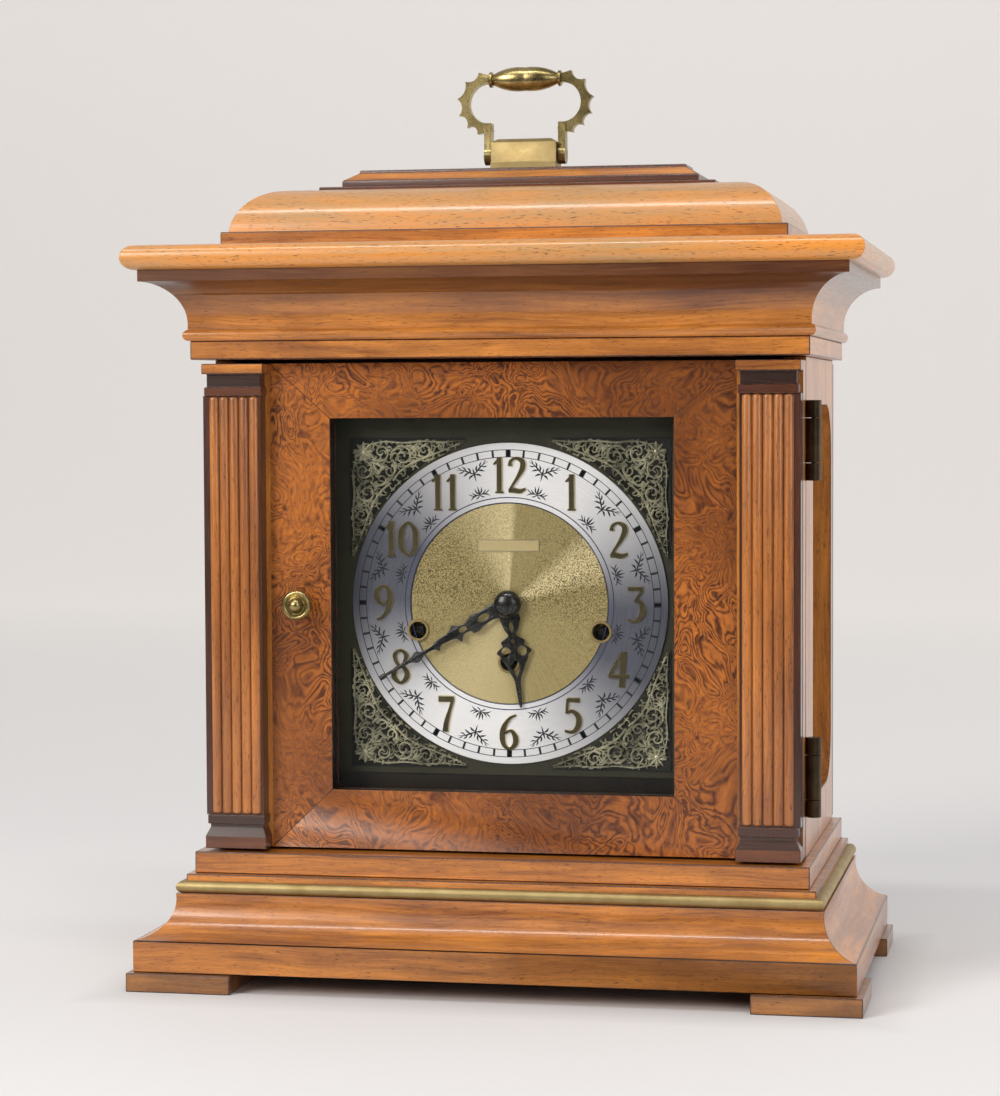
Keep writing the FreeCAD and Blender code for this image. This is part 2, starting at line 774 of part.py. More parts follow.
def hinges():
    case_leaves = []
    door_leaves = []
    back_leaves = []
    pins = []
    for number, level in enumerate(FRONT_LEVELS):
        case_leaves.append(hinge_leaf(f"front_case_leaf_{number}", level, "front_hinge_line", True,
                                      ("bottom", "top")))
        door_leaves.append(hinge_leaf(f"front_door_leaf_{number}", level, "front_hinge_line", False,
                                      ("middle",)))
        pins.append(cylinder(f"front_pin_{number}", "hinge_pin_radius", "hinge_length", "hinge_axis_offset",
                             "front_hinge_line", f"{level} - hinge_length / 2"))
        case_leaves.append(mirrored(hinge_leaf(f"back_case_leaf_{number}", level, "back_hinge_line", False,
                                               ("bottom", "top"))))
        back_leaves.append(mirrored(hinge_leaf(f"back_door_leaf_{number}", level, "back_hinge_line", True,
                                               ("middle",))))
        pins.append(mirrored(cylinder(f"back_pin_{number}", "hinge_pin_radius", "hinge_length",
                                      "hinge_axis_offset", "back_hinge_line", f"{level} - hinge_length / 2")))
    group("hinge_case_leaves", *case_leaves)
    group("hinge_door_leaves", *door_leaves)
    group("back_door_leaves", *back_leaves)
    group("hinge_pins", *pins)


def mortises(name, line, behind):
    """Sinkings for one door's right-hand hinge leaves, behind or in front of the hinge line."""
    if behind:
        faces = (f"{line} - door_joint_gap / 2 - overrun",
                 f"{line} + hinge_leaf_gap / 2 + hinge_leaf_thickness")
    else:
        faces = (f"{line} - hinge_leaf_gap / 2 - hinge_leaf_thickness",
                 f"{line} + door_joint_gap / 2 + overrun")
    tools = []
    for number, level in enumerate(FRONT_LEVELS):
        tools.append(box(f"{name}_{number}",
                         ("door_half - hinge_leaf_width", "case_half_width + overrun"), faces,
                         (f"{level} - hinge_length / 2", f"{level} + hinge_length / 2")))
    return tools


def side_panels():
    opening = box("side_opening_block", ("side_inner - overrun", "case_half_width + overrun"),
                  ("side_opening_front", "side_opening_back"), ("side_opening_bottom", "side_opening_top"))
    rounded = doc.addObject("Part::Fillet", "side_opening")
    rounded.Base = opening
    doc.recompute()
    radius = value("side_opening_radius")
    along_x = [number for number, edge in enumerate(opening.Shape.Edges, start=1)
               if abs(edge.tangentAt(edge.FirstParameter).x) > math.cos(math.pi / 4)]
    rounded.Edges = [(number, radius, radius) for number in along_x]
    board = box("side_board", ("side_inner", "case_half_width"), ("case_front", "case_back"),
                ("base_top", "frieze_bottom"))
    pierced = cut("side_pierced", board, rounded)
    keep("side_panel_right", cut("side_right", pierced, *mortises("front_mortise", "front_hinge_line", True)))
    rear_tools = [mirrored(tool) for tool in mortises("back_mortise", "back_hinge_line", False)]
    keep("side_panel_left", cut("side_left", mirrored(pierced), *rear_tools))
    cloth = box("side_cloth", ("side_inner - cloth_thickness", "side_inner"),
                ("side_opening_front - cloth_lap", "side_opening_back + cloth_lap"),
                ("side_opening_bottom - cloth_lap", "side_opening_top + cloth_lap"))
    group("side_cloths", cloth, mirrored(cloth))


# Front door

def door_frame():
    rebate = box("glass_rebate", ("-window_half_width - rebate_width", "window_half_width + rebate_width"),
                 ("glass_front", "door_back + overrun"),
                 ("window_bottom - rebate_width", "window_top + rebate_width"))
    stile = pad("stile_right", "XZ_Plane",
                [("window_half_width", "window_bottom"), ("burl_half_width", "door_bottom"),
                 ("door_half", "door_bottom"), ("door_half", "door_top"), ("burl_half_width", "door_top"),
                 ("window_half_width", "window_top")], "door_thickness", offset="-burl_face", back=True)
    rebated = cut("stile_rebated", stile, rebate)
    hinged = cut("stile_hinged", rebated, *mortises("stile_mortise", "front_hinge_line", False))
    group("door_stiles", hinged, mirrored(rebated))
    rails = []
    for name, near, far in (("bottom", "window_bottom", "door_bottom"), ("top", "window_top", "door_top")):
        rail = pad(f"rail_{name}", "XZ_Plane",
                   [("-window_half_width", near), ("-burl_half_width", far), ("burl_half_width", far),
                    ("window_half_width", near)], "door_thickness", offset="-burl_face", back=True)
        rails.append(cut(f"rail_{name}_rebated", rail, rebate))
    group("door_rails", *rails)

    half = "window_half_width + rebate_width - glass_clearance"
    low = "window_bottom - rebate_width + glass_clearance"
    high = "window_top + rebate_width - glass_clearance"
    keep("door_glass", box("glass_pane", (f"-({half})", half), ("glass_front", "glass_back"), (low, high)))
    depth = ("glass_back", "glass_back + stop_thickness")
    side = box("stop_right", (f"{half} - stop_width", half), depth, (low, high))
    span = (f"stop_width - ({half})", f"{half} - stop_width")
    lower = box("stop_bottom", span, depth, (low, f"{low} + stop_width"))
    upper = box("stop_top", span, depth, (f"{high} - stop_width", high))
    group("glass_stops", side, mirrored(side), lower, upper)


REEDS = 5
REED_BOW = 0.9


def pilasters():
    half = "(shaft_width / 2)"
    face = "burl_face - shaft_backing"
    points = [(f"pilaster_centre + {half}", "burl_face"), (f"pilaster_centre - {half}", "burl_face"),
              (f"pilaster_centre - {half}", face)]
    pitch = f"((shaft_width - 2 * reed_inset) / {REEDS})"
    for number in range(REEDS + 1):
        spot = (f"pilaster_centre - {half} + reed_inset + {number} * {pitch}", face)
        points.append(spot + ((-REED_BOW,) if number < REEDS else ()))
    points.append((f"pilaster_centre + {half}", face))
    shaft = pad("shaft_right", "XY_Plane", points, "shaft_top - shaft_bottom", offset="shaft_bottom")
    group("pilaster_shafts", shaft, mirrored(shaft))

    tiers = (("neck", "neck_width", "neck_recess", "shaft_top + capital_fillet_height",
              "door_top - capital_block_height"),
             ("fillet", "fillet_width", "fillet_recess", "shaft_top", "shaft_top + capital_fillet_height"),
             ("block", "capital_width", "0", "door_top - capital_block_height", "door_top"))
    blocks = [box(f"capital_{name}", (f"pilaster_centre - {width} / 2", f"pilaster_centre + {width} / 2"),
                  (f"capital_face + {recess}", "burl_face"), (low, high))
              for name, width, recess, low, high in tiers]
    capital = fuse("capital_right", *blocks)
    group("pilaster_capitals", capital, mirrored(capital))

    slab_top = "door_bottom + pedestal_slab_height"
    bevel_top = f"{slab_top} + pedestal_bevel_height"
    groove_top = f"{bevel_top} + pedestal_groove_height"
    slab = box("pedestal_slab",
               ("pilaster_centre - capital_width / 2", "pilaster_centre + capital_width / 2"),
               ("capital_face", "burl_face"), ("door_bottom", slab_top))
    depth = "(burl_face - capital_face)"
    whole = wedge("pedestal_bevel_whole", "capital_width / 2", "neck_width / 2", depth,
                  f"{depth} - neck_recess", "pedestal_bevel_height", "burl_face", slab_top, "pilaster_centre")
    behind = box("pedestal_bevel_behind",
                 ("pilaster_centre - capital_width", "pilaster_centre + capital_width"),
                 ("burl_face", "burl_face + pilaster_depth + overrun"),
                 (f"{slab_top} - overrun", f"{bevel_top} + overrun"))
    bevel = cut("pedestal_bevel", whole, behind)
    groove = box("pedestal_groove", ("pilaster_centre - neck_width / 2", "pilaster_centre + neck_width / 2"),
                 ("capital_face + neck_recess", "burl_face"), (bevel_top, groove_top))
    block = box("pedestal_block",
                ("pilaster_centre - fillet_width / 2", "pilaster_centre + fillet_width / 2"),
                ("capital_face + fillet_recess", "burl_face"), (groove_top, "shaft_bottom"))
    foot = fuse("pedestal_right", slab, bevel, groove, block)
    group("pilaster_bases", foot, mirrored(foot))


def door_knob():
    neck_top = "(knob_rose_height + knob_neck_height)"
    rim_top = f"({neck_top} + knob_rim_height)"
    floor = f"({rim_top} - knob_dish_depth)"
    keep("door_knob", turned("door_knob_body", [
        ("0", "0"), ("knob_rose_radius", "0"), ("knob_rose_radius", "knob_rose_height / 2"),
        ("knob_neck_radius * 1.3", "knob_rose_height", 0.3), ("knob_neck_radius", f"{neck_top} * 0.6", 0.25),
        ("knob_rim_radius * 0.93", neck_top), ("knob_rim_radius", f"{neck_top} + knob_rim_height / 3"),
        ("knob_rim_radius * 0.97", rim_top), ("knob_dish_radius", rim_top),
        ("knob_dish_radius * 0.92", floor),
        ("knob_button_radius", floor, -0.35), ("knob_button_radius / 8", f"{floor} + knob_button_height"),
        ("0", f"{floor} + knob_button_height")],
        "-knob_centre", "burl_face", "window_middle", TO_FRONT))


# Back door

BACK_SLOTS = 8


def back_door():
    body = pad("back_board", "XZ_Plane", rectangle("-door_half", "door_half", "door_bottom", "door_top"),
               "back_door_thickness", offset="-back_door_front", back=True)
    lowest = f"(window_middle - {(BACK_SLOTS - 1) / 2} * back_slot_pitch)"
    first = pocket(body, "back_slot", "XZ_Plane",
                   rectangle("-back_slot_width / 2", "back_slot_width / 2",
                             f"{lowest} - back_slot_height / 2", f"{lowest} + back_slot_height / 2"))
    row = body.newObject("PartDesign::LinearPattern", "back_slots")
    row.Originals = [first]
    row.Direction = (first.Profile[0], ["V_Axis"])
    row.Occurrences = BACK_SLOTS
    row.setExpression("Length", linked(f"{BACK_SLOTS - 1} * back_slot_pitch"))
    body.Tip = row
    pull = cylinder("back_finger_hole", "back_pull_radius", "back_door_thickness + 2 * overrun",
                    "door_half - side_thickness - back_pull_radius", "back_door_front - overrun",
                    "window_middle", TO_BACK)
    tools = [mirrored(tool) for tool in mortises("back_door_mortise", "back_hinge_line", True)]
    keep("back_door", cut("back_door_board", body, pull, *tools))


# Bail handle and its mount

ARM_START = -98.0
ARM_POINTS = (-69.0, -47.0, -21.0, 9.0, 43.0, 72.0)
ARM_END = 96.0


def handle_arm(side):
    """One scrolled arm: a C of constant depth whose outer edge runs in scallops between points."""
    centre = Vector(side * value("arm_centre_offset"), value("caddy_middle"), value("arm_level"))
    inner = value("arm_inner_radius")
    tip = value("arm_spike_radius")
    outer = value("arm_outer_radius")

    def spot(radius, degrees):
        angle = math.radians(degrees)
        return centre + Vector(side * radius * math.cos(angle), 0, radius * math.sin(angle))

    edges = [Part.LineSegment(spot(outer, ARM_START), spot(tip, ARM_POINTS[0])).toShape()]
    for before, after in zip(ARM_POINTS, ARM_POINTS[1:]):
        middle = spot(outer, (before + after) / 2)
        edges.append(Part.Arc(spot(tip, before), middle, spot(tip, after)).toShape())
    last = spot(tip, ARM_POINTS[-1])
    end = spot(outer, ARM_END)
    edges.append(Part.LineSegment(last, end).toShape())
    edges.append(Part.LineSegment(end, spot(inner, ARM_END)).toShape())
    edges.append(Part.Arc(spot(inner, ARM_END), spot(inner, (ARM_START + ARM_END) / 2),
                          spot(inner, ARM_START)).toShape())
    edges.append(Part.LineSegment(spot(inner, ARM_START), spot(outer, ARM_START)).toShape())
    depth = value("arm_thickness")
    face = Part.Face(Part.Wire(edges))
    return shaped(f"handle_arm_{'right' if side > 0 else 'left'}",
                  face.extrude(Vector(0, depth, 0)).translated(Vector(0, -depth / 2, 0)))


def handle_leg(side):
    """The leg under an arm, with the eye that turns on the mount's trunnion."""
    name = f"handle_leg_{'right' if side > 0 else 'left'}"
    near = "leg_inner"
    far = "leg_inner + leg_width"
    span = (near, far) if side > 0 else (f"-({far})", f"-{near}")
    shank = box(name + "_shank", span, ("caddy_middle - leg_depth / 2", "caddy_middle + leg_depth / 2"),
                ("pivot_level", "arm_level - arm_inner_radius"))
    eye = cylinder(name + "_eye", "eye_radius", "leg_width", span[0], "caddy_middle", "pivot_level", TO_RIGHT)
    bore = cylinder(name + "_bore", "trunnion_radius + pin_clearance", "leg_width + 2 * overrun",
                    f"{span[0]} - overrun", "caddy_middle", "pivot_level", TO_RIGHT)
    return cut(name, fuse(name + "_whole", shank, eye), bore)


def handle():
    near = "(grip_half_length - grip_collar_width)"
    far = "(grip_half_length - grip_collar_width / 4)"
    grip = turned("handle_grip", [
        ("0", "-grip_half_length"), ("grip_end_radius", "-grip_half_length"),
        ("grip_collar_radius", f"-{far}"), ("grip_collar_radius", f"-{near} - grip_collar_width / 4"),
        ("grip_end_radius", f"-{near}", -0.16), ("grip_middle_radius", "0", -0.16), ("grip_end_radius", near),
        ("grip_collar_radius", f"{near} + grip_collar_width / 4"), ("grip_collar_radius", far),
        ("grip_end_radius", "grip_half_length"), ("0", "grip_half_length")],
        "0", "caddy_middle", "grip_level", TO_RIGHT)
    pieces = [grip]
    for side in (-1, 1):
        pieces.append(handle_arm(side))
        pieces.append(handle_leg(side))
    keep("bail_handle", fuse("bail_handle_whole", *pieces))

    flange = box("mount_flange", ("-mount_half_width", "mount_half_width"),
                 ("caddy_middle - mount_depth / 2 - mount_flange_lip",
                  "caddy_middle + mount_depth / 2 + mount_flange_lip"),
                 ("cap_lip_top", "cap_lip_top + mount_flange_height"))
    block = box("mount_block", ("-mount_half_width", "mount_half_width"),
                ("caddy_middle - mount_depth / 2", "caddy_middle + mount_depth / 2"),
                ("cap_lip_top + mount_flange_height", "cap_lip_top + mount_height"))
    bevel = wedge("mount_bevel", "mount_half_width", "mount_half_width - mount_bevel_run", "mount_depth / 2",
                  "mount_depth / 2 - mount_bevel_run", "mount_bevel_height", "caddy_middle",
                  "cap_lip_top + mount_height")
    pin = cylinder("mount_trunnion", "trunnion_radius", "2 * (leg_inner + leg_width)",
                   "-leg_inner - leg_width", "caddy_middle", "pivot_level", TO_RIGHT)
    keep("handle_mount", fuse("handle_mount_whole", flange, block, bevel, pin))


# Dial

def disc(name, radius, bore, front, back, x="0", z="dial_level"):
    """A washer facing the front between two depths."""
    outside = cylinder(name + "_outside", radius, f"{back} - ({front})", x, front, z, TO_BACK)
    inside = cylinder(name + "_inside", bore, f"{back} - ({front}) + 2 * overrun", x, f"{front} - overrun", z,
                      TO_BACK)
    return cut(name, outside, inside)


WINDING_PLACES = (("strike", "-winding_offset", "winding_level"), ("time", "0", "centre_winding_level"),
                  ("chime", "winding_offset", "winding_level"))


def winding_bores(name, front, back):
    return fuse(name, *[cylinder(f"{name}_{train}", "eyelet_radius", f"{back} - ({front}) + 2 * overrun", x,
                                 f"{front} - overrun", z, TO_BACK) for train, x, z in WINDING_PLACES])


def dial():
    plate = box("dial_blank", ("-dial_plate_half_width", "dial_plate_half_width"), ("dial_face", "dial_back"),
                ("dial_level - dial_plate_bottom", "dial_level + dial_plate_top"))
    centre_bore = cylinder("dial_bore_hole", "dial_bore", "dial_plate_thickness + 2 * overrun", "0",
                           "dial_face - overrun", "dial_level", TO_BACK)
    holes = winding_bores("dial_holes", "dial_face - ring_thickness", "dial_back")
    keep("dial_plate", cut("dial_pierced", plate, holes, centre_bore))
    ring = disc("ring_blank", "ring_outer_radius", "ring_inner_radius",
                "dial_face - ring_thickness", "dial_face")
    keep("chapter_ring", cut("ring_pierced", ring, holes))
    centre = disc("centre_blank", "ring_inner_radius - centre_clearance", "dial_bore",
                  "centre_face", "dial_face")
    keep("dial_centre", cut("centre_pierced", centre, holes))
    group("winding_eyelets", *[disc(f"eyelet_{train}", "eyelet_radius", "eyelet_bore",
                                    "dial_face - eyelet_height", "dial_back", x, z)
                               for train, x, z in WINDING_PLACES])
    spandrels()
    numerals()

    low = "base_top"
    high = "frieze_bottom"
    depth = ("dial_back", "dial_board_back")
    bottom = box("dial_board_bottom", ("-side_inner", "side_inner"), depth,
                 (low, f"{low} + dial_board_rail"))
    top = box("dial_board_top", ("-side_inner", "side_inner"), depth,
              (f"{high} - dial_board_rail", high))
    side = box("dial_board_side", ("side_inner - dial_board_stile", "side_inner"), depth,
               (f"{low} + dial_board_rail", f"{high} - dial_board_rail"))
    group("dial_board", bottom, top, side, mirrored(side))


def spandrels():
    """Four corner ornaments: a square corner with a hollow edge that follows the ring."""
    half = value("spandrel_half_width")
    height = value("spandrel_half_height")
    reach = value("spandrel_reach")
    near = (value("ring_outer_radius") + value("spandrel_gap")) * math.sqrt(0.5)
    thick = value("spandrel_thickness")
    face = value("dial_face")
    level = value("dial_level")
    corners = []
    for right, up in ((1, 1), (-1, 1), (-1, -1), (1, -1)):
        def spot(x, z):
            return Vector(right * x, face, level + up * z)
        edges = [Part.LineSegment(spot(half - reach, height), spot(half, height)).toShape(),
                 Part.LineSegment(spot(half, height), spot(half, height - reach)).toShape(),
                 Part.Arc(spot(half, height - reach), spot(near, near), spot(half - reach, height)).toShape()]
        face_of = Part.Face(Part.Wire(edges))
        corners.append(face_of.extrude(Vector(0, -thick, 0)))
    keep("spandrels", shaped("spandrel_set", Part.makeCompound(corners)))


# Strokes of each digit in shares of its height: (kind, ...) where a bar joins two points and an
# arc goes about a centre with two half axes from one angle to another.
DIGIT_SHARES = {
    "0": (("arc", 0, 0.5, 0.21, 0.42, 0, 360),),
    "1": (("bar", 0, 0, 0, 1), ("bar", -0.12, 0.84, 0, 0.93)),
    "2": (("arc", 0, 0.74, 0.19, 0.19, -20, 180), ("bar", 0.17, 0.66, -0.21, 0.07),
          ("bar", -0.22, 0.07, 0.24, 0.07)),
    "3": (("arc", 0, 0.75, 0.18, 0.18, -80, 150), ("arc", 0, 0.3, 0.22, 0.23, -150, 80)),
    "4": (("bar", 0.02, 0.93, -0.22, 0.3), ("bar", -0.24, 0.3, 0.27, 0.3), ("bar", 0.12, 0.06, 0.12, 0.5)),
    "5": (("bar", -0.13, 0.93, 0.17, 0.93), ("bar", -0.13, 0.93, -0.15, 0.6),
          ("arc", -0.03, 0.34, 0.24, 0.26, -120, 110)),
    "6": (("arc", 0, 0.3, 0.21, 0.23, 0, 360), ("arc", 0.24, 0.35, 0.42, 0.58, 105, 180)),
    "7": (("bar", -0.2, 0.93, 0.2, 0.93), ("bar", 0.19, 0.93, -0.06, 0.06)),
    "8": (("arc", 0, 0.75, 0.17, 0.18, 0, 360), ("arc", 0, 0.29, 0.21, 0.22, 0, 360)),
    "9": (("arc", 0, 0.7, 0.21, 0.23, 0, 360), ("arc", -0.24, 0.65, 0.42, 0.58, -75, 0)),
}
ARC_STEPS = 12
DIGIT_PITCH_SHARE = 0.56


def digit(character, tall, wide, thick):
    """A figure of overlapping round-ended bars, standing on its own origin."""
    def bar(x_low, z_low, x_high, z_high):
        start = Vector(x_low * tall, 0, z_low * tall)
        run = Vector(x_high * tall, 0, z_high * tall) - start
        blank = Part.makeBox(run.Length, wide, thick, Vector(0, -wide / 2, 0))
        whole = blank.fuse([Part.makeCylinder(wide / 2, thick, Vector(end, 0, 0)) for end in (0, run.Length)])
        whole.Placement = Placement(start, Rotation(Vector(1, 0, 0), 90)) * Placement(
            Vector(0, 0, 0), Rotation(Vector(0, 0, 1), math.degrees(math.atan2(run.z, run.x))))
        return whole

    bars = []
    for kind, *shares in DIGIT_SHARES[character]:
        if kind == "bar":
            bars.append(bar(*shares))
            continue
        x, z, half, height, begin, end = shares
        steps = max(3, round(ARC_STEPS * (end - begin) / 360))
        angles = [math.radians(begin + (end - begin) * number / steps) for number in range(steps + 1)]
        spots = [(x + half * math.cos(angle), z + height * math.sin(angle)) for angle in angles]
        bars += [bar(*near, *far) for near, far in zip(spots, spots[1:])]
    return bars[0].fuse(bars[1:]).removeSplitter() if len(bars) > 1 else bars[0]


def numerals():
    tall = value("numeral_height")
    wide = value("numeral_stroke")
    thick = value("numeral_thickness")
    radius = value("numeral_radius")
    face = value("dial_face - ring_thickness")
    level = value("dial_level")
    inner = tall - wide
    figures = []
    for hour in range(1, 13):
        angle = math.radians(90 - 30 * hour)
        text = str(hour)
        for number, character in enumerate(text):
            shift = (number - (len(text) - 1) / 2) * DIGIT_PITCH_SHARE * tall
            foot = level + radius * math.sin(angle) - inner / 2
            spot = Vector(radius * math.cos(angle) + shift, face, foot)
            figures.append(digit(character, inner, wide, thick).translated(spot))
    keep("hour_numerals", shaped("numeral_set", Part.makeCompound(figures)))


# Hands, drawn upright from the centre in shares of their length and width

MINUTE_SHARES = ((0.0, 0.3), (0.1, 0.22), (0.16, 0.5), (0.27, 0.42), (0.33, 0.16), (0.38, 0.5), (0.47, 0.4),
                 (0.53, 0.12), (0.6, 0.34), (0.66, 0.12), (0.8, 0.14), (0.84, 0.3), (0.9, 0.09), (1.0, 0.06))
HOUR_SHARES = ((0.0, 0.2), (0.16, 0.1), (0.3, 0.14), (0.36, 0.5), (0.5, 0.5), (0.6, 0.24), (0.7, 0.12),
               (1.0, 0.04))
MINUTE_ANGLE = 240.0
HOUR_ANGLE = 173.0


def hand(name, shares, length, width, back, bore, angle):
    """A flat hand with an eye, turned clockwise from twelve."""
    long = value(length)
    wide = value(width)
    thick = value("hand_thickness")
    right = [Vector(wide * across, 0, long * up) for up, across in shares]
    left = [Vector(-spot.x, 0, spot.z) for spot in reversed(right)]
    blade = Part.Face(Part.makePolygon(right + left + [right[0]])).extrude(Vector(0, -thick, 0))
    hub = Part.makeCylinder(value("hand_hub_radius"), thick, Vector(0, 0, 0), Vector(0, -1, 0))
    hole = Part.makeCylinder(value(bore), thick * 3, Vector(0, thick, 0), Vector(0, -1, 0))
    shape = blade.fuse(hub).cut(hole).removeSplitter()
    return place(shaped(name, shape), "0", back, "dial_level", Rotation(Vector(0, 1, 0), angle))


def hands():
    keep("hour_hand", hand("hour_hand_blank", HOUR_SHARES, "hour_hand_length", "hour_hand_width",
                           "hour_hand_back", "hour_pipe_radius", HOUR_ANGLE))
    keep("minute_hand", hand("minute_hand_blank", MINUTE_SHARES, "minute_hand_length", "minute_hand_width",
                             "minute_hand_back", "cannon_radius", MINUTE_ANGLE))
    keep("hand_nut", turned("hand_nut_body", [
        ("0", "0"), ("hand_nut_radius", "0"), ("hand_nut_radius", "hand_nut_height / 4", -0.25),
        ("hand_nut_radius / 8", "hand_nut_height"), ("0", "hand_nut_height")],
        "0", "minute_hand_front", "dial_level", TO_FRONT))


# Movement

STUD_PLACE = f"motion_module * {(CANNON_TEETH + MINUTE_WHEEL_TEETH) / 2}"
DRUM_LEVEL = f"winding_level + chime_module * {(CHIME_TEETH + DRUM_TEETH) / 2}"
TOOTH_SHARES = ((-0.27, -1.2), (-0.13, 0.95), (0.13, 0.95), (0.27, -1.2))


def wheel(teeth, module, thick, bore, phase=0.0):
    """A spur wheel about the Y axis, its front face on its own origin."""
    pitch = module * teeth / 2
    spots = []
    for tooth in range(teeth):
        for turn, height in TOOTH_SHARES:
            angle = 2 * math.pi * (tooth + phase + turn) / teeth
            radius = pitch + height * module
            spots.append(Vector(radius * math.sin(angle), 0, radius * math.cos(angle)))
    blank = Part.Face(Part.makePolygon(spots + [spots[0]])).extrude(Vector(0, thick, 0))
    return blank.cut(Part.makeCylinder(bore, thick * 3, Vector(0, -thick, 0), Vector(0, 1, 0)))


def rod(radius, front, back):
    return Part.makeCylinder(radius, back - front, Vector(0, front, 0), Vector(0, 1, 0))


def moved(name, shape, x, z):
    return place(shaped(name, shape), x, "0", z)


def mesh_phase(teeth, other_teeth, direction):
    """Turn of a wheel, in teeth, that sets a gap where the other wheel has a tooth. direction is the
    angle from straight up, clockwise from the front, of the line to the other wheel's centre."""
    near = direction / (2 * math.pi) * teeth
    far = (direction + math.pi) / (2 * math.pi) * other_teeth
    return near + far + 0.5 - math.floor(near + far)


def movement():
    """Two plates held apart by four pillars. The front plate carries the stud of the minute wheel
    and the back plate carries the pivot rod of the hammers."""
    slack = value("running_clearance")
    depth = value("plate_thickness")
    places = [("arbor_radius", x, z) for train, x, z in WINDING_PLACES]
    places += [("arbor_radius", "winding_offset", DRUM_LEVEL), ("centre_arbor_radius", "0", "dial_level"),
               ("balance_arbor_radius", "-balance_offset", "dial_level + balance_height")]
    half = value("plate_half_width")
    low = value("plate_bottom")
    inset = value("pillar_inset")
    pillar = value("pillar_radius")
    corners = [(side * (half - inset), height) for side in (-1, 1)
               for height in (low + inset, value("plate_top") - inset)]

    def plate(start):
        board = Part.makeBox(2 * half, depth, value("plate_height"), Vector(-half, start, low))
        bores = [Part.makeCylinder(value(radius) + slack, depth * 3,
                                   Vector(value(x), start - depth, value(z)), Vector(0, 1, 0))
                 for radius, x, z in places]
        return board.cut(bores)

    front = value("plate_front")
    back = value("back_plate_back")
    posts = [Part.makeCylinder(pillar, value("back_plate_front") - value("dial_board_back"),
                               Vector(x, value("dial_board_back"), z), Vector(0, 1, 0)) for x, z in corners]
    stud_reach = 2 * value("wheel_thickness") + 8 * slack
    stud = Part.makeCylinder(value("stud_radius"), stud_reach,
                             Vector(value(STUD_PLACE), front - stud_reach, value("dial_level")),
                             Vector(0, 1, 0))
    pivot = Part.makeCylinder(value("hammer_pivot_radius"),
                              value("rod_first_line") + 3.5 * value("rod_pitch") - back,
                              Vector(value("hammer_pivot_place"), back, value("hammer_pivot_level")),
                              Vector(0, 1, 0))
    keep("movement_plates", shaped("plate_pair", Part.makeCompound(
        [plate(front).cut(posts).fuse(stud), plate(value("back_plate_front")).fuse(pivot)])))
    keep("movement_pillars", shaped("pillar_set", Part.makeCompound(posts)))


def barrels():
    """Three spring barrels, each with its great wheel, and the arbors that wind them."""
    bore = value("arbor_radius + running_clearance")
    radius = value("barrel_radius")
    long = value("barrel_length")
    thick = value("great_wheel_thickness")
    gap = value("great_wheel_gap")
    near = value("plate_inner") + gap
    far = value("back_plate_front") - gap
    for train, x, z in WINDING_PLACES:
        drum = Part.makeCylinder(radius, long, Vector(0, 0, 0), Vector(0, 1, 0))
        drum = drum.cut(Part.makeCylinder(bore, long * 3, Vector(0, -long, 0), Vector(0, 1, 0)))
        if train == "time":
            teeth = wheel(GREAT_TEETH, value("going_module"), thick, bore,
                          mesh_phase(GREAT_TEETH, CENTRE_TEETH, 0))
            shape = teeth.translated(Vector(0, near, 0)).fuse(drum.translated(Vector(0, near + thick, 0)))
        else:
            teeth = wheel(CHIME_TEETH, value("chime_module"), thick, bore)
            shape = teeth.translated(Vector(0, far - thick, 0)).fuse(
                drum.translated(Vector(0, far - thick - long, 0)))
        keep(f"{train}_barrel", moved(f"{train}_barrel_blank", shape, x, z))
        keep(f"{train}_winding_arbor", moved(f"{train}_arbor_blank", winding_arbor(), x, z))


def winding_arbor():
    """A round arbor through both plates with a square end behind the dial."""
    square = value("winding_square")
    tip = value("winding_tip")
    front = value("plate_front")
    shank = rod(value("arbor_radius"), front, value("back_plate_back"))
    end = Part.makeBox(square, front - tip, square, Vector(-square / 2, tip, -square / 2))
    collar = rod(value("arbor_radius") + value("great_wheel_gap"),
                 value("plate_inner") + value("running_clearance"),
                 value("plate_inner") + value("great_wheel_gap") - value("running_clearance"))
    return shank.fuse([end, collar])


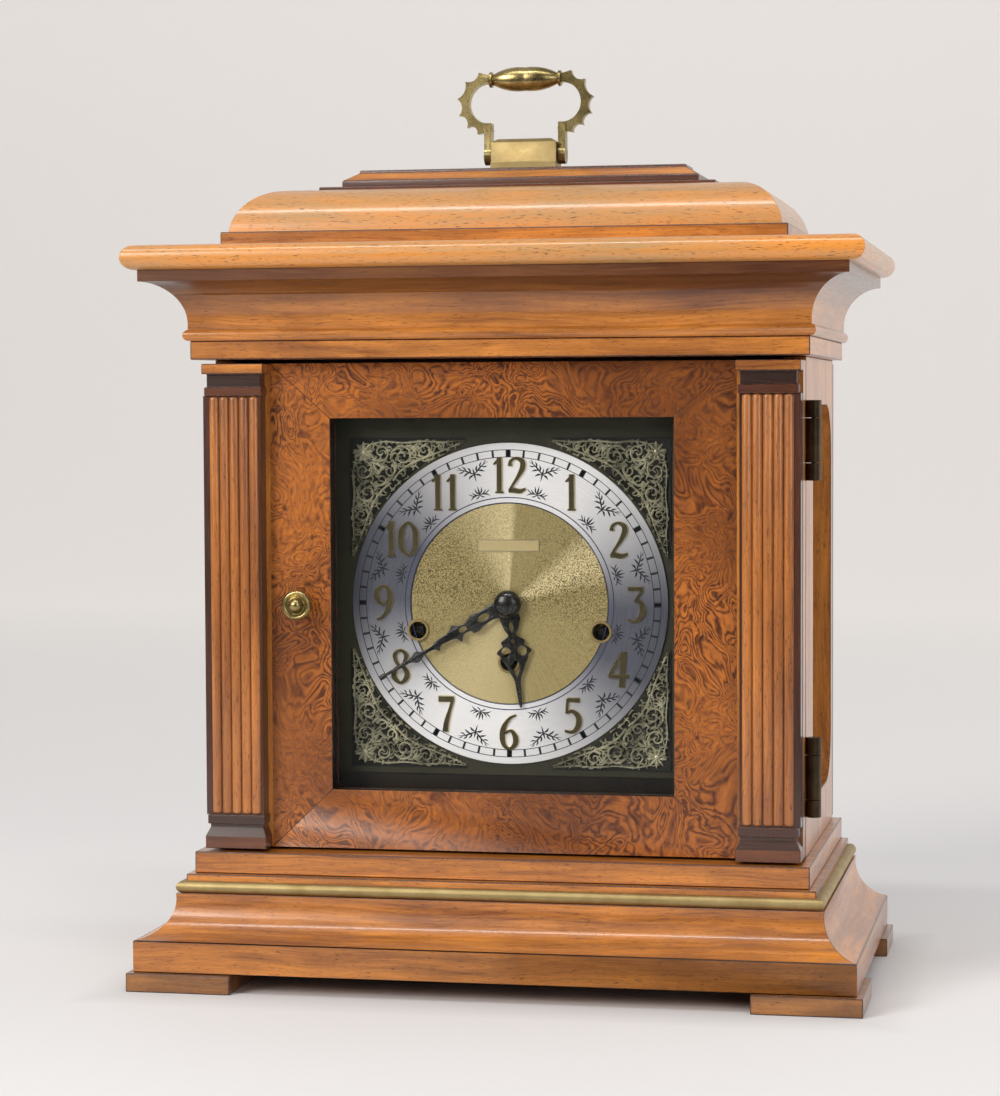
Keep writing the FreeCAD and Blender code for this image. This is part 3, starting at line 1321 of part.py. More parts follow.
def motion_work():
    """Centre arbor with its pinion, cannon pinion, minute wheel on a stud, and hour wheel."""
    thick = value("wheel_thickness")
    slack = value("running_clearance")
    gap = value("great_wheel_gap")
    near = value("plate_inner") + gap
    arbor = rod(value("centre_arbor_radius"), value("minute_hand_front"), value("back_plate_back"))
    pinion = wheel(CENTRE_TEETH, value("going_module"), value("great_wheel_thickness") + gap / 2,
                   value("centre_arbor_radius"))
    front = value("plate_front")
    cannon_wheel = wheel(CANNON_TEETH, value("motion_module"), thick, value("centre_arbor_radius"))
    cannon_front = front - thick - slack * 4
    pipe = rod(value("cannon_radius"), value("minute_hand_front"), cannon_front)
    keep("centre_arbor", moved("centre_arbor_blank", arbor.fuse(
        [pinion.translated(Vector(0, near - gap / 4, 0)), cannon_wheel.translated(Vector(0, cannon_front, 0)),
         pipe]), "0", "dial_level"))

    # the minute wheel sits to the right of the cannon pinion, with its pinion in front
    side = math.pi / 2
    hour_front = cannon_front - thick - slack * 4
    big = wheel(MINUTE_WHEEL_TEETH, value("motion_module"), thick, value("stud_radius") + slack,
                mesh_phase(MINUTE_WHEEL_TEETH, CANNON_TEETH, side + math.pi))
    small = wheel(MINUTE_PINION_TEETH, value("hour_module"), thick + slack * 4, value("stud_radius") + slack)
    shape = big.translated(Vector(0, cannon_front, 0)).fuse(small.translated(Vector(0, hour_front, 0)))
    keep("minute_wheel", moved("minute_wheel_blank", shape, STUD_PLACE, "dial_level"))

    hour_teeth = wheel(HOUR_WHEEL_TEETH, value("hour_module"), thick, value("cannon_radius") + slack,
                       mesh_phase(HOUR_WHEEL_TEETH, MINUTE_PINION_TEETH, side))
    pipe = rod(value("hour_pipe_radius"), value("hour_hand_front"), hour_front).cut(
        rod(value("cannon_radius") + slack, value("hour_hand_front") - thick, hour_front + thick))
    keep("hour_wheel", moved("hour_wheel_blank", hour_teeth.translated(Vector(0, hour_front, 0)).fuse(pipe),
                             "0", "dial_level"))


def balance():
    """A balance wheel with three arms on an arbor between the plates."""
    radius = value("balance_radius")
    rim = value("balance_rim")
    middle = value("plate_inner + plate_spacing / 2")
    hoop = rod(radius, middle, middle + rim).cut(rod(radius - rim, middle - rim, middle + 2 * rim))
    arms = [Part.makeBox(2 * radius - rim, rim, rim, Vector(rim / 2 - radius, middle, -rim / 2)).rotated(
        Vector(0, 0, 0), Vector(0, 1, 0), 60 * number) for number in range(3)]
    arbor = rod(value("balance_arbor_radius"), value("plate_front"), value("back_plate_back"))
    shape = arbor.fuse([hoop] + arms)
    keep("balance_wheel", moved("balance_blank", shape, "-balance_offset", "dial_level + balance_height"))


DRUM_ROWS = 4
DRUM_PINS = 7


def chime():
    """Pinned drum behind the movement, hammers over the rods, and the rods in their block."""
    far = value("back_plate_front") - value("great_wheel_gap")
    thick = value("great_wheel_thickness")
    behind = value("back_plate_back") + value("great_wheel_gap")
    pitch = value("rod_pitch")
    gear = wheel(DRUM_TEETH, value("chime_module"), thick, value("arbor_radius") / 2,
                 mesh_phase(DRUM_TEETH, CHIME_TEETH, math.pi))
    drum = rod(value("drum_radius"), behind, behind + value("drum_length"))
    arbor = rod(value("arbor_radius"), value("plate_front"), behind + thick)
    pins = []
    tall = value("drum_radius") + value("drum_pin_height")
    first = value("rod_first_line")
    for row in range(DRUM_ROWS):
        for number in range(DRUM_PINS):
            angle = 360 * (number + row / DRUM_ROWS) / DRUM_PINS
            pin = Part.makeCylinder(value("drum_pin_radius"), tall, Vector(0, first + row * pitch, 0),
                                    Vector(0, 0, 1))
            pins.append(pin.rotated(Vector(0, 0, 0), Vector(0, 1, 0), angle))
    whole = arbor.fuse([drum, gear.translated(Vector(0, far - thick, 0))] + pins)
    keep("chime_drum", moved("chime_drum_blank", whole, "winding_offset", DRUM_LEVEL))

    lines = [f"rod_first_line + {number} * rod_pitch" for number in range(DRUM_ROWS)]
    keep("chime_rods", group_of_rods(lines))
    keep("rod_block", box("rod_block_casting",
                          ("-rod_block_offset", "rod_block_length - rod_block_offset"),
                          ("rod_first_line - (rod_block_width - 3 * rod_pitch) / 2",
                           "rod_first_line + 3 * rod_pitch + (rod_block_width - 3 * rod_pitch) / 2"),
                          ("base_top", "base_top + rod_block_height")))
    for number, line in enumerate(lines, start=1):
        keep(f"chime_hammer_{number}", hammer(number, line))


def group_of_rods(lines):
    item = doc.addObject("Part::Compound", "rod_set")
    item.Links = [cylinder(f"rod_{number}", "rod_radius", f"rod_length - {number} * rod_pitch",
                           "rod_block_length - rod_block_offset", line, "rod_level", TO_RIGHT)
                  for number, line in enumerate(lines)]
    return item


def hammer(number, line):
    """A hammer that pivots beside its rod: boss, arm, stem and a head that hangs just above the rod."""
    name = f"hammer_{number}"
    pivot = ("hammer_pivot_place", "hammer_pivot_level")
    boss = cylinder(name + "_boss", "hammer_boss_radius", "hammer_boss_length", pivot[0],
                    f"{line} - hammer_boss_length / 2", pivot[1], TO_BACK)
    half = "hammer_arm_thickness / 2"
    head_place = "(hammer_pivot_place - hammer_reach)"
    arm = box(name + "_arm", (f"{head_place} - hammer_arm_width / 2", pivot[0]),
              (f"{line} - {half}", f"{line} + {half}"),
              (f"{pivot[1]} - hammer_arm_width / 2", f"{pivot[1]} + hammer_arm_width / 2"))
    low = "rod_level + rod_radius + hammer_rest_gap"
    stem = box(name + "_stem",
               (f"{head_place} - hammer_arm_width / 2", f"{head_place} + hammer_arm_width / 2"),
               (f"{line} - {half}", f"{line} + {half}"), (f"{low} + hammer_head_height / 2", pivot[1]))
    head = cylinder(name + "_head", "hammer_head_radius", "hammer_head_height", head_place, line, low)
    bore = cylinder(name + "_bore", "hammer_pivot_radius + running_clearance",
                    "hammer_boss_length + 2 * overrun", pivot[0],
                    f"{line} - hammer_boss_length / 2 - overrun", pivot[1], TO_BACK)
    return cut(name, fuse(name + "_whole", boss, arm, stem, head), bore)


def check_and_write():
    doc.recompute()
    for item in doc.Objects:
        if "Invalid" in item.State or "Error" in item.State:
            raise RuntimeError(f"{item.Label} did not recompute: {item.State}")
    for label, item in sub_parts.items():
        if item.Shape.isNull() or not item.Shape.isValid():
            raise RuntimeError(f"{label} has no valid shape")
    for label, item in sub_parts.items():
        item.Shape.exportStep(f"parts/{label}.step")
    print(f"{len(sub_parts)} sub-parts written")


base_of_case()
top_of_case()
caddy()
side_panels()
hinges()
door_frame()
pilasters()
door_knob()
back_door()
handle()
dial()
hands()
movement()
barrels()
motion_work()
balance()
chime()
check_and_write()
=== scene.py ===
"""The finished look of a square bracket mantel clock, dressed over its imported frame."""

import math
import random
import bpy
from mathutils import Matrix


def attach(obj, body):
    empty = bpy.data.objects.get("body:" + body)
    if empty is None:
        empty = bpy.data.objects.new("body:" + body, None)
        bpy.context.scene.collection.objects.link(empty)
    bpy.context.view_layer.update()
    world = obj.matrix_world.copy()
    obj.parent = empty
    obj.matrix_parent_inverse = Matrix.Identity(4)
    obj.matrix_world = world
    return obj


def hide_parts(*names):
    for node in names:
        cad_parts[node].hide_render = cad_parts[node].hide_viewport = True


bl_info = {
    "name": "Bracket Mantel Clock",
    "version": (1, 0, 0),
    "blender": (4, 5, 0),
    "location": "View3D > Sidebar > Clock",
    "description": "Dresses a bracket mantel clock: case, reeded pilasters, dial, handle and studio",
    "category": "Object",
}

import bmesh
import bpy
from mathutils import Matrix, Vector

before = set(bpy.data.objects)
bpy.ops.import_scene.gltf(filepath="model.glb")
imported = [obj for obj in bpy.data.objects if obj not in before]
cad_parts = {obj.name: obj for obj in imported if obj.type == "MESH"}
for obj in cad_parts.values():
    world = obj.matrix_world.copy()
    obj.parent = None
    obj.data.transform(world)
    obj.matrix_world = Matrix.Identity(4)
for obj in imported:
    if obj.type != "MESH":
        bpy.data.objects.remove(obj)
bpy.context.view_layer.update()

MM = 0.001
# Height of the dial's centre, and the chapter ring's face, in mm
DIAL_Z = 184.75
RING_FRONT = -38.3
# Back and front of what is etched on the ring
ETCHED = (RING_FRONT + 0.05, RING_FRONT - 0.05)
# A spandrel's outer edges, from the dial's centre
SPANDREL_ACROSS, SPANDREL_UP = 79.2, 80.4
SPANDREL_BACK, SPANDREL_FACE = -37.4, -38.7
# Where the spandrels' ornament ends round the chapter ring
RING_CLEAR = 79.2
# A point on the right-hand mitre line of the case's mouldings
MITRE_ACROSS, MITRE_DEEP = 149.8, -72.2
MATERIALS = {}
TREES = {}
SOCKETS = {
    "colour": "NodeSocketColor", "number": "NodeSocketFloat", "count": "NodeSocketInt",
    "place": "NodeSocketVector", "geometry": "NodeSocketGeometry", "object": "NodeSocketObject",
    "material": "NodeSocketMaterial",
}


def tone(red, green, blue):
    """A colour given as it looks on screen, as the linear colour that shaders use."""
    linear = []
    for part in (red, green, blue):
        share = part / 255
        linear.append(share / 12.92 if share <= 0.04045 else ((share + 0.055) / 1.055) ** 2.4)
    return (*linear, 1.0)


def looks():
    return bpy.context.scene.clock_looks


# Shader trees


def node_of(tree, kind, inputs=None, **settings):
    """A node with its settings, and its inputs as values or links."""
    node = tree.nodes.new(kind)
    for key, value in settings.items():
        setattr(node, key, value)
    for key, value in (inputs or {}).items():
        if isinstance(value, bpy.types.NodeSocket):
            tree.links.new(value, node.inputs[key])
        else:
            node.inputs[key].default_value = value
    return node


def add(tree, kind, inputs=None, **settings):
    return node_of(tree, "ShaderNode" + kind, inputs, **settings)


def sums(tree, operation, first, second=0.0, third=0.0):
    return add(tree, "Math", {0: first, 1: second, 2: third}, operation=operation).outputs[0]


def blended(tree, share, first, second):
    return add(tree, "Mix", {0: share, 6: first, 7: second}, data_type="RGBA").outputs[2]


def ranged(tree, value, low, high, to_low=0.0, to_high=1.0):
    return add(tree, "MapRange", {0: value, 1: low, 2: high, 3: to_low, 4: to_high}).outputs[0]


def scaled(tree, place, factors):
    return add(tree, "VectorMath", {0: place, 1: factors}, operation="MULTIPLY").outputs[0]


def noise(tree, place, scale, detail=2.0, rough=0.5):
    return add(tree, "TexNoise", {"Vector": place, "Scale": scale, "Detail": detail, "Roughness": rough})


def shifted(tree, place, scale, detail, reach):
    """A place moved about by noise, by up to half the reach each way."""
    drift = noise(tree, place, scale, detail).outputs["Color"]
    drift = add(tree, "VectorMath", {0: drift, 1: (0.5, 0.5, 0.5)}, operation="SUBTRACT").outputs[0]
    return add(tree, "VectorMath", {0: place, 1: scaled(tree, drift, reach)}, operation="ADD").outputs[0]


def new_tree(name, kind, inputs, outputs):
    """A node group with named sockets: its tree, what it is given and what it gives."""
    tree = bpy.data.node_groups.new(name, kind)
    for way, sockets in (("INPUT", inputs), ("OUTPUT", outputs)):
        for label, sort, *default in sockets:
            socket = tree.interface.new_socket(name=label, in_out=way, socket_type=SOCKETS[sort])
            if default:
                socket.default_value = default[0]
    TREES[name] = tree
    return tree, tree.nodes.new("NodeGroupInput").outputs, tree.nodes.new("NodeGroupOutput").inputs


def give(tree, out, *values):
    """Links what a group gives, in the order of its sockets."""
    for socket, value in zip(out, values):
        tree.links.new(value, socket)


def finish_group(name, inputs):
    """A shader group that turns a place into a colour, a roughness and a height."""
    outputs = [("Color", "colour"), ("Roughness", "number"), ("Height", "number")]
    return new_tree(name, "ShaderNodeTree", [("Place", "place"), *inputs], outputs)


def wood_grain_group():
    """Fine straight grain with fibres, pore dashes and slow clouds of tone."""
    tree, given, out = finish_group("Wood Grain", [
        ("Light", "colour", (0.6, 0.3, 0.1, 1)), ("Dark", "colour", (0.3, 0.12, 0.04, 1)),
        ("Pores", "number", 0.6), ("Clouds", "number", 0.4)])
    place = shifted(tree, given["Place"], 9.0, 2.0, (0.0, 0.012, 0.012))
    streaks = noise(tree, scaled(tree, place, (0.055, 1.0, 1.0)), 210.0, 5.0, 0.62).outputs[0]
    broad = noise(tree, scaled(tree, place, (0.12, 1.0, 1.0)), 48.0, 3.0).outputs[0]
    fibres = noise(tree, scaled(tree, place, (0.022, 1.0, 1.0)), 1500.0, 2.0).outputs[0]
    pores = noise(tree, scaled(tree, place, (0.11, 1.0, 1.0)), 2300.0, 1.0).outputs[0]
    pores = ranged(tree, pores, 0.63, 0.72)
    clouds = noise(tree, given["Place"], 26.0, 4.0, 0.6).outputs[0]
    share = sums(tree, "MULTIPLY_ADD", broad, 0.42, sums(tree, "MULTIPLY", streaks, 0.4))
    share = sums(tree, "MULTIPLY_ADD", fibres, 0.18, share)
    share = ranged(tree, share, 0.37, 0.62)
    colour = blended(tree, share, given["Dark"], given["Light"])
    cloud_share = sums(tree, "MULTIPLY", ranged(tree, clouds, 0.42, 0.72), given["Clouds"])
    colour = blended(tree, cloud_share, colour, given["Dark"])
    pore_share = sums(tree, "MULTIPLY", pores, given["Pores"])
    colour = blended(tree, pore_share, colour, (0.035, 0.012, 0.004, 1))
    height = sums(tree, "SUBTRACT", sums(tree, "MULTIPLY", fibres, 0.35), pore_share)
    give(tree, out, colour, ranged(tree, fibres, 0.3, 0.7, 0.3, 0.42), height)


def burl_group():
    """Burr veneer: swirling contour lines, crinkled figure, eyes and calm patches."""
    tree, given, out = finish_group("Burr Figure", [
        ("Light", "colour", (0.6, 0.3, 0.1, 1)), ("Dark", "colour", (0.2, 0.07, 0.02, 1))])
    place = shifted(tree, given["Place"], 17.0, 2.0, (0.07, 0.07, 0.07))
    place = shifted(tree, place, 70.0, 3.0, (0.013, 0.013, 0.013))
    field = noise(tree, place, 26.0, 2.0).outputs[0]
    lines = sums(tree, "SINE", sums(tree, "MULTIPLY", field, 210.0))
    lines = ranged(tree, lines, -0.6, 1.0)
    crinkle = noise(tree, place, 330.0, 6.0, 0.7).outputs[0]
    calm = ranged(tree, noise(tree, given["Place"], 22.0, 2.0).outputs[0], 0.35, 0.6, 0.25, 1.0)
    share = sums(tree, "MULTIPLY", lines, sums(tree, "MULTIPLY", calm, 0.62))
    share = sums(tree, "MULTIPLY_ADD", ranged(tree, crinkle, 0.35, 0.66), 0.66, share)
    colour = blended(tree, share, given["Light"], given["Dark"])
    cells = add(tree, "TexVoronoi", {"Vector": place, "Scale": 95.0, "Randomness": 1.0})
    spots = ranged(tree, cells.outputs["Distance"], 0.1, 0.26, 1.0, 0.0)
    chosen = ranged(tree, cells.outputs["Color"], 0.62, 0.68)
    spots = sums(tree, "MULTIPLY", spots, sums(tree, "MULTIPLY", chosen, 0.75))
    colour = blended(tree, spots, colour, (0.03, 0.01, 0.004, 1))
    depth = noise(tree, given["Place"], 12.0, 3.0).outputs[0]
    colour = blended(tree, ranged(tree, depth, 0.45, 0.66, 0.0, 0.62), colour, given["Dark"])
    give(tree, out, colour, ranged(tree, crinkle, 0.3, 0.7, 0.24, 0.36), share)


def wear_group():
    """Slow and fine unevenness that metals, cloth and castings share."""
    tree, given, out = finish_group("Tarnish", [
        ("Clean", "colour", (0.6, 0.5, 0.3, 1)), ("Dull", "colour", (0.3, 0.2, 0.1, 1)),
        ("Amount", "number", 0.5), ("Shine", "number", 0.25), ("Spread", "number", 0.15)])
    slow = noise(tree, given["Place"], 90.0, 5.0, 0.62).outputs[0]
    fine = noise(tree, given["Place"], 1400.0, 3.0, 0.6).outputs[0]
    share = sums(tree, "MULTIPLY", ranged(tree, slow, 0.4, 0.7), given["Amount"])
    colour = blended(tree, share, given["Clean"], given["Dull"])
    spread = sums(tree, "MULTIPLY", ranged(tree, fine, 0.3, 0.7), given["Spread"])
    give(tree, out, colour, sums(tree, "ADD", spread, given["Shine"]), fine)


def material(name, **settings):
    """A new material's tree, its Principled shader with constants set, and object coordinates."""
    item = bpy.data.materials.new(name)
    item.use_nodes = True
    tree = item.node_tree
    shader = tree.nodes["Principled BSDF"]
    for key, value in settings.items():
        shader.inputs[key.replace("_", " ")].default_value = value
    MATERIALS[name] = item
    return tree, shader, add(tree, "TexCoord").outputs["Object"]


def bumped(tree, shader, height, strength, distance):
    bump = add(tree, "Bump", {"Height": height, "Strength": strength, "Distance": distance})
    tree.links.new(bump.outputs[0], shader.inputs["Normal"])


def painted(tree, shader, colour, rough=None):
    """Links a shader's colour and, if given, its roughness."""
    tree.links.new(colour, shader.inputs["Base Color"])
    if rough:
        tree.links.new(rough, shader.inputs["Roughness"])


def grouped(tree, shader, name, inputs, strength, distance=0.0002):
    """Feeds a group's colour, roughness and height into the shader."""
    group = add(tree, "Group", inputs, node_tree=TREES[name]).outputs
    painted(tree, shader, group["Color"], group["Roughness"])
    bumped(tree, shader, group["Height"], strength, distance)
    return group


# How grain along x is turned to run along each axis
TURNS = {"x": (0, 0, 0), "y": (0, 0, math.pi / 2), "z": (0, math.pi / 2, 0)}


def wood(name, run, light, dark, pores=0.6, clouds=0.4, shift=0.0, coat=0.6, coat_rough=0.14, shade=None):
    """Lacquered wood whose grain runs along one axis, with painted shade that darkens it from one height to
    another.
    """
    tree, shader, place = material(name, Coat_Weight=coat, Coat_Roughness=coat_rough, Coat_IOR=1.5)
    turned = add(tree, "Mapping", {
        "Vector": place, "Location": (shift, shift * 0.7, 0.11), "Rotation": TURNS[run]})
    values = {"Place": turned.outputs[0], "Light": light, "Dark": dark, "Pores": pores, "Clouds": clouds}
    group = grouped(tree, shader, "Wood Grain", values, 0.12)
    # Painted shade: between the two heights the colour is blended towards a dark brown.
    if shade:
        level = add(tree, "SeparateXYZ", {0: place}).outputs[2]
        share = ranged(tree, level, shade[0] * MM, shade[1] * MM, 0.0, 0.8)
        painted(tree, shader, blended(tree, share, group["Color"], tone(58, 22, 8)))


def burl(name, light, dark):
    """Burr veneer under a thin lacquer."""
    tree, shader, place = material(name, Coat_Weight=0.12, Coat_Roughness=0.2, Coat_IOR=1.5)
    turned = add(tree, "Mapping", {"Vector": place, "Location": (0.3, 0.0, 0.2)})
    values = {"Place": turned.outputs[0], "Light": light, "Dark": dark}
    grouped(tree, shader, "Burr Figure", values, 0.06)


def worn(name, clean, dull, amount=0.5, shine=0.25, spread=0.15, bump=0.05, **settings):
    """Metal, casting or enamel with the shared tarnish."""
    tree, shader, place = material(name, **settings)
    values = {"Place": place, "Clean": clean, "Dull": dull, "Amount": amount, "Shine": shine,
              "Spread": spread}
    grouped(tree, shader, "Tarnish", values, bump, 0.0001)


def dial_polar(tree, place):
    """Distance from the dial's centre in metres, and the angle clockwise from 12 in radians."""
    centred = add(tree, "VectorMath", {0: place, 1: (0, 0, DIAL_Z * MM)}, operation="SUBTRACT").outputs[0]
    parts = add(tree, "SeparateXYZ", {0: centred})
    across, up = parts.outputs[0], parts.outputs[2]
    far = sums(tree, "SQRT", sums(tree, "ADD", sums(tree, "MULTIPLY", across, across),
                                  sums(tree, "MULTIPLY", up, up)))
    angle = sums(tree, "ARCTAN2", across, up)
    return far, angle


def strokes(tree, across, along, scale):
    """Noise drawn out into brush strokes."""
    return noise(tree, add(tree, "CombineXYZ", {0: across, 1: along}).outputs[0], scale, 3.0).outputs[0]


def gold_centre():
    """Satin gold disc: worm-like matting whose contrast is painted by angle as a sheen, strongest at the
    sides, and painted highlight wedges above and below.
    """
    tree, shader, place = material("gold_centre", Metallic=0.3, Specular_IOR_Level=0.6)
    far, angle = dial_polar(tree, place)
    swirl = noise(tree, place, 560.0, 1.0, 0.5).outputs[0]
    worm_matting_and_sheen = sums(tree, "SINE", sums(tree, "MULTIPLY", swirl, 30.0))
    worm_matting_and_sheen = ranged(tree, worm_matting_and_sheen, -0.1, 0.35)
    # Painted sheen: the matting's contrast is set by the angle round the dial, strongest at the sides and
    # fading below.
    doubled = sums(tree, "COSINE", sums(tree, "MULTIPLY", sums(tree, "ADD", angle, -0.12), 2.0))
    painted_sheen_contrast = ranged(tree, doubled, 0.9, -0.55, 0.4, 1.0)
    painted_fade_below = ranged(tree, sums(tree, "COSINE", angle), -0.6, 0.2, 0.35, 1.0)
    worm_matting_and_sheen = sums(tree, "MULTIPLY", worm_matting_and_sheen, sums(tree, "MULTIPLY", painted_sheen_contrast, painted_fade_below))
    # Painted highlight: bright wedges near 2 o'clock, from about half past 10 up to 12, and a weaker one near
    # 7 o'clock, painted into the colour.
    painted_highlight = ranged(tree, sums(tree, "COSINE", sums(tree, "ADD", angle, -1.08)), 0.955, 1.0)
    rising = ranged(tree, angle, -0.75, 0.02)
    falling = ranged(tree, angle, 0.02, 0.1, 1.0, 0.0)
    painted_highlight = sums(tree, "MAXIMUM", painted_highlight, sums(tree, "MULTIPLY", rising, falling))
    lower_painted_highlight = ranged(tree, sums(tree, "COSINE", sums(tree, "ADD", angle, -3.6)), 0.75, 1.0, 0.0, 0.6)
    painted_highlight = sums(tree, "MAXIMUM", painted_highlight, lower_painted_highlight)
    brushed = strokes(tree, sums(tree, "MULTIPLY", angle, 38.0), sums(tree, "MULTIPLY", far, 2.0), 3.0)
    base = blended(tree, ranged(tree, brushed, 0.3, 0.7), tone(168, 151, 98), tone(186, 170, 116))
    base = blended(tree, painted_highlight, base, tone(240, 222, 168))
    colour = blended(tree, sums(tree, "MULTIPLY", worm_matting_and_sheen, 0.8), base, tone(92, 78, 38))
    painted(tree, shader, colour, ranged(tree, brushed, 0.3, 0.7, 0.34, 0.46))
    bumped(tree, shader, worm_matting_and_sheen, 0.25, 0.0002)


def silver_ring():
    """Brushed silver chapter ring with a painted sheen: painted highlight near the top and bottom, painted
    bluish shade at the sides.
    """
    tree, shader, place = material("silver_ring", Metallic=0.1, Specular_IOR_Level=0.5)
    far, angle = dial_polar(tree, place)
    # Painted sheen: white near 12 and 6 o'clock and bluish grey near 3 and 9 o'clock, painted into the
    # colour.
    sides = sums(tree, "COSINE", sums(tree, "MULTIPLY", sums(tree, "ADD", angle, -0.26), 2.0))
    brushed = strokes(tree, sums(tree, "MULTIPLY", far, 1500.0), sums(tree, "MULTIPLY", angle, 2.0), 1.3)
    colour = blended(tree, ranged(tree, sides, -0.9, 0.9), tone(84, 86, 98), tone(255, 255, 255))
    colour = blended(tree, ranged(tree, brushed, 0.35, 0.65, 0.0, 0.12), colour, tone(160, 160, 170))
    painted(tree, shader, colour, ranged(tree, brushed, 0.3, 0.7, 0.32, 0.42))


def make_woods():
    """Woods of the case, with grain along each axis, from the colours in the sidebar."""
    light = tuple(looks().wood_light)
    dark = tuple(looks().wood_dark)
    honey = tuple(looks().wood_honey)
    for run in "xyz":
        wood("case_wood_" + run, run, light, dark, shift=0.13)
    for run in "xy":
        # The cornice's painted shade darkens the top of its cove, under the top board.
        wood("cornice_wood_" + run, run, light, dark, shift=0.19, shade=(322, 340))
    wood("honey_wood_x", "x", honey, light, 0.75, 0.3, 0.37)
    wood("honey_wood_y", "y", honey, light, 0.75, 0.3, 0.41)
    wood("honey_wood_z", "z", tone(194, 120, 52), tone(116, 62, 24), 0.75, 0.25, 0.23)
    # The feet's darker copy of the case wood is painted shade, darkening them against the light that the
    # glowing floor throws on them.
    wood("foot_shade_wood_x", "x", tone(176, 116, 56), tone(92, 56, 26), 0.7, 0.8, 0.41)
    # Near-black wood that paints the shade in the capitals' recessed necks and on the bases' upper bevel and
    # groove.
    wood("neck_shade_wood", "x", tone(66, 36, 24), tone(34, 18, 12), 0.5, 0.3, 0.77)
    wood("deep_wood_x", "x", dark, tone(66, 30, 18), 0.8, 0.4, 0.53)
    # Dark wood that paints the shade on the shafts' backing, between the reeds and in the recessed strips
    # beside them.
    wood("groove_shade_wood_z", "z", tone(84, 42, 22), tone(40, 20, 12), 0.8, 0.5, 0.63)
    wood("dark_lining", "z", tone(44, 32, 22), tone(22, 16, 12), 0.4, 0.4, 0.83, 0.3, 0.3)
    wood("inner_wood", "z", tone(120, 66, 36), tone(52, 26, 14), 0.5, 0.5, 0.71, 0.3, 0.3)
    burl("burr_veneer", tone(192, 112, 44), tone(78, 36, 14))
    # Dark speckled edge material: real antique glaze and wear on outer edges, and painted shade where eased
    # faces run along inner creases.
    tree, shader, place = material("edge_glaze_and_shade", Coat_Weight=0.6, Coat_Roughness=0.2, Coat_IOR=1.5)
    specks = noise(tree, place, 900.0, 3.0).outputs[0]
    colour = blended(tree, ranged(tree, specks, 0.42, 0.62), tone(46, 22, 12), tone(104, 54, 26))
    painted(tree, shader, colour, ranged(tree, specks, 0.3, 0.7, 0.35, 0.5))


def make_metals():
    """Metals, inks and enamels."""
    worn("antique_brass", tone(178, 160, 110), tone(98, 84, 48), 0.85, 0.24, 0.14, 0.06, Metallic=1.0)
    worn("satin_brass", tone(172, 152, 106), tone(136, 114, 70), 0.6, 0.42, 0.14, 0.05, Metallic=0.9)
    worn("pale_brass", tone(222, 208, 172), tone(178, 156, 104), 0.6, 0.28, 0.16, 0.05, Metallic=0.9)
    worn("bronze", tone(74, 60, 44), tone(34, 28, 22), 0.8, 0.32, 0.16, 0.06, Metallic=0.9)
    worn("numeral_bronze", tone(84, 76, 50), tone(58, 52, 32), 0.6, 0.4, 0.12, 0.04, Metallic=0.5)
    worn("plaque_gold", tone(206, 188, 138), tone(190, 170, 120), 0.4, 0.4, 0.1, 0.02, Metallic=0.3)
    worn("relief_gold", tone(228, 224, 194), tone(92, 88, 66), 0.8, 0.3, 0.2, 0.1, Metallic=0.7)
    worn("black_ground", tone(22, 22, 18), tone(40, 38, 30), 0.7, 0.5, 0.2, 0.1)
    worn("olive_plate", tone(74, 72, 58), tone(58, 56, 44), 0.5, 0.34, 0.1, 0.04, Metallic=0.4)
    worn("black_steel", tone(16, 15, 15), tone(30, 28, 26), 0.6, 0.24, 0.14, 0.04, Coat_Weight=0.4,
         Coat_Roughness=0.15)
    worn("etched_ink", tone(26, 28, 38), tone(44, 46, 58), 0.6, 0.5, 0.1, 0.02)
    worn("blue_line", tone(40, 46, 84), tone(56, 64, 104), 0.4, 0.4, 0.1, 0.02)
    worn("machine_brass", tone(214, 180, 104), tone(164, 128, 62), 0.5, 0.22, 0.16, 0.05, Metallic=1.0)
    worn("bright_steel", tone(180, 182, 186), tone(120, 122, 126), 0.5, 0.2, 0.16, 0.05, Metallic=1.0)
    worn("iron_casting", tone(58, 58, 60), tone(36, 36, 38), 0.7, 0.5, 0.2, 0.35, Metallic=0.5)
    worn("hammer_steel", tone(150, 150, 152), tone(92, 90, 86), 0.6, 0.3, 0.16, 0.08, Metallic=1.0)
    gold_centre()
    silver_ring()


def make_glass_and_cloth():
    """Door glass that is nearly clear, and the woven cloth of the side openings."""
    tree, shader, place = material("clear_glass", Alpha=0.07, IOR=1.5, Specular_IOR_Level=0.5)
    smear = noise(tree, place, 60.0, 3.0).outputs[0]
    colour = blended(tree, smear, (0.01, 0.014, 0.012, 1), (0.02, 0.026, 0.022, 1))
    painted(tree, shader, colour, ranged(tree, smear, 0.3, 0.7, 0.015, 0.05))
    tree, shader, place = material("sound_cloth", Sheen_Weight=0.3, Sheen_Roughness=0.5, Roughness=0.85)
    up, over = (add(tree, "TexWave", {"Vector": place, "Scale": 420.0, "Distortion": 0.6},
                    bands_direction=way).outputs[1] for way in "ZY")
    weave = sums(tree, "MULTIPLY", up, over)
    painted(tree, shader, blended(tree, weave, tone(26, 20, 16), tone(74, 58, 44)))
    bumped(tree, shader, weave, 0.5, 0.0003)


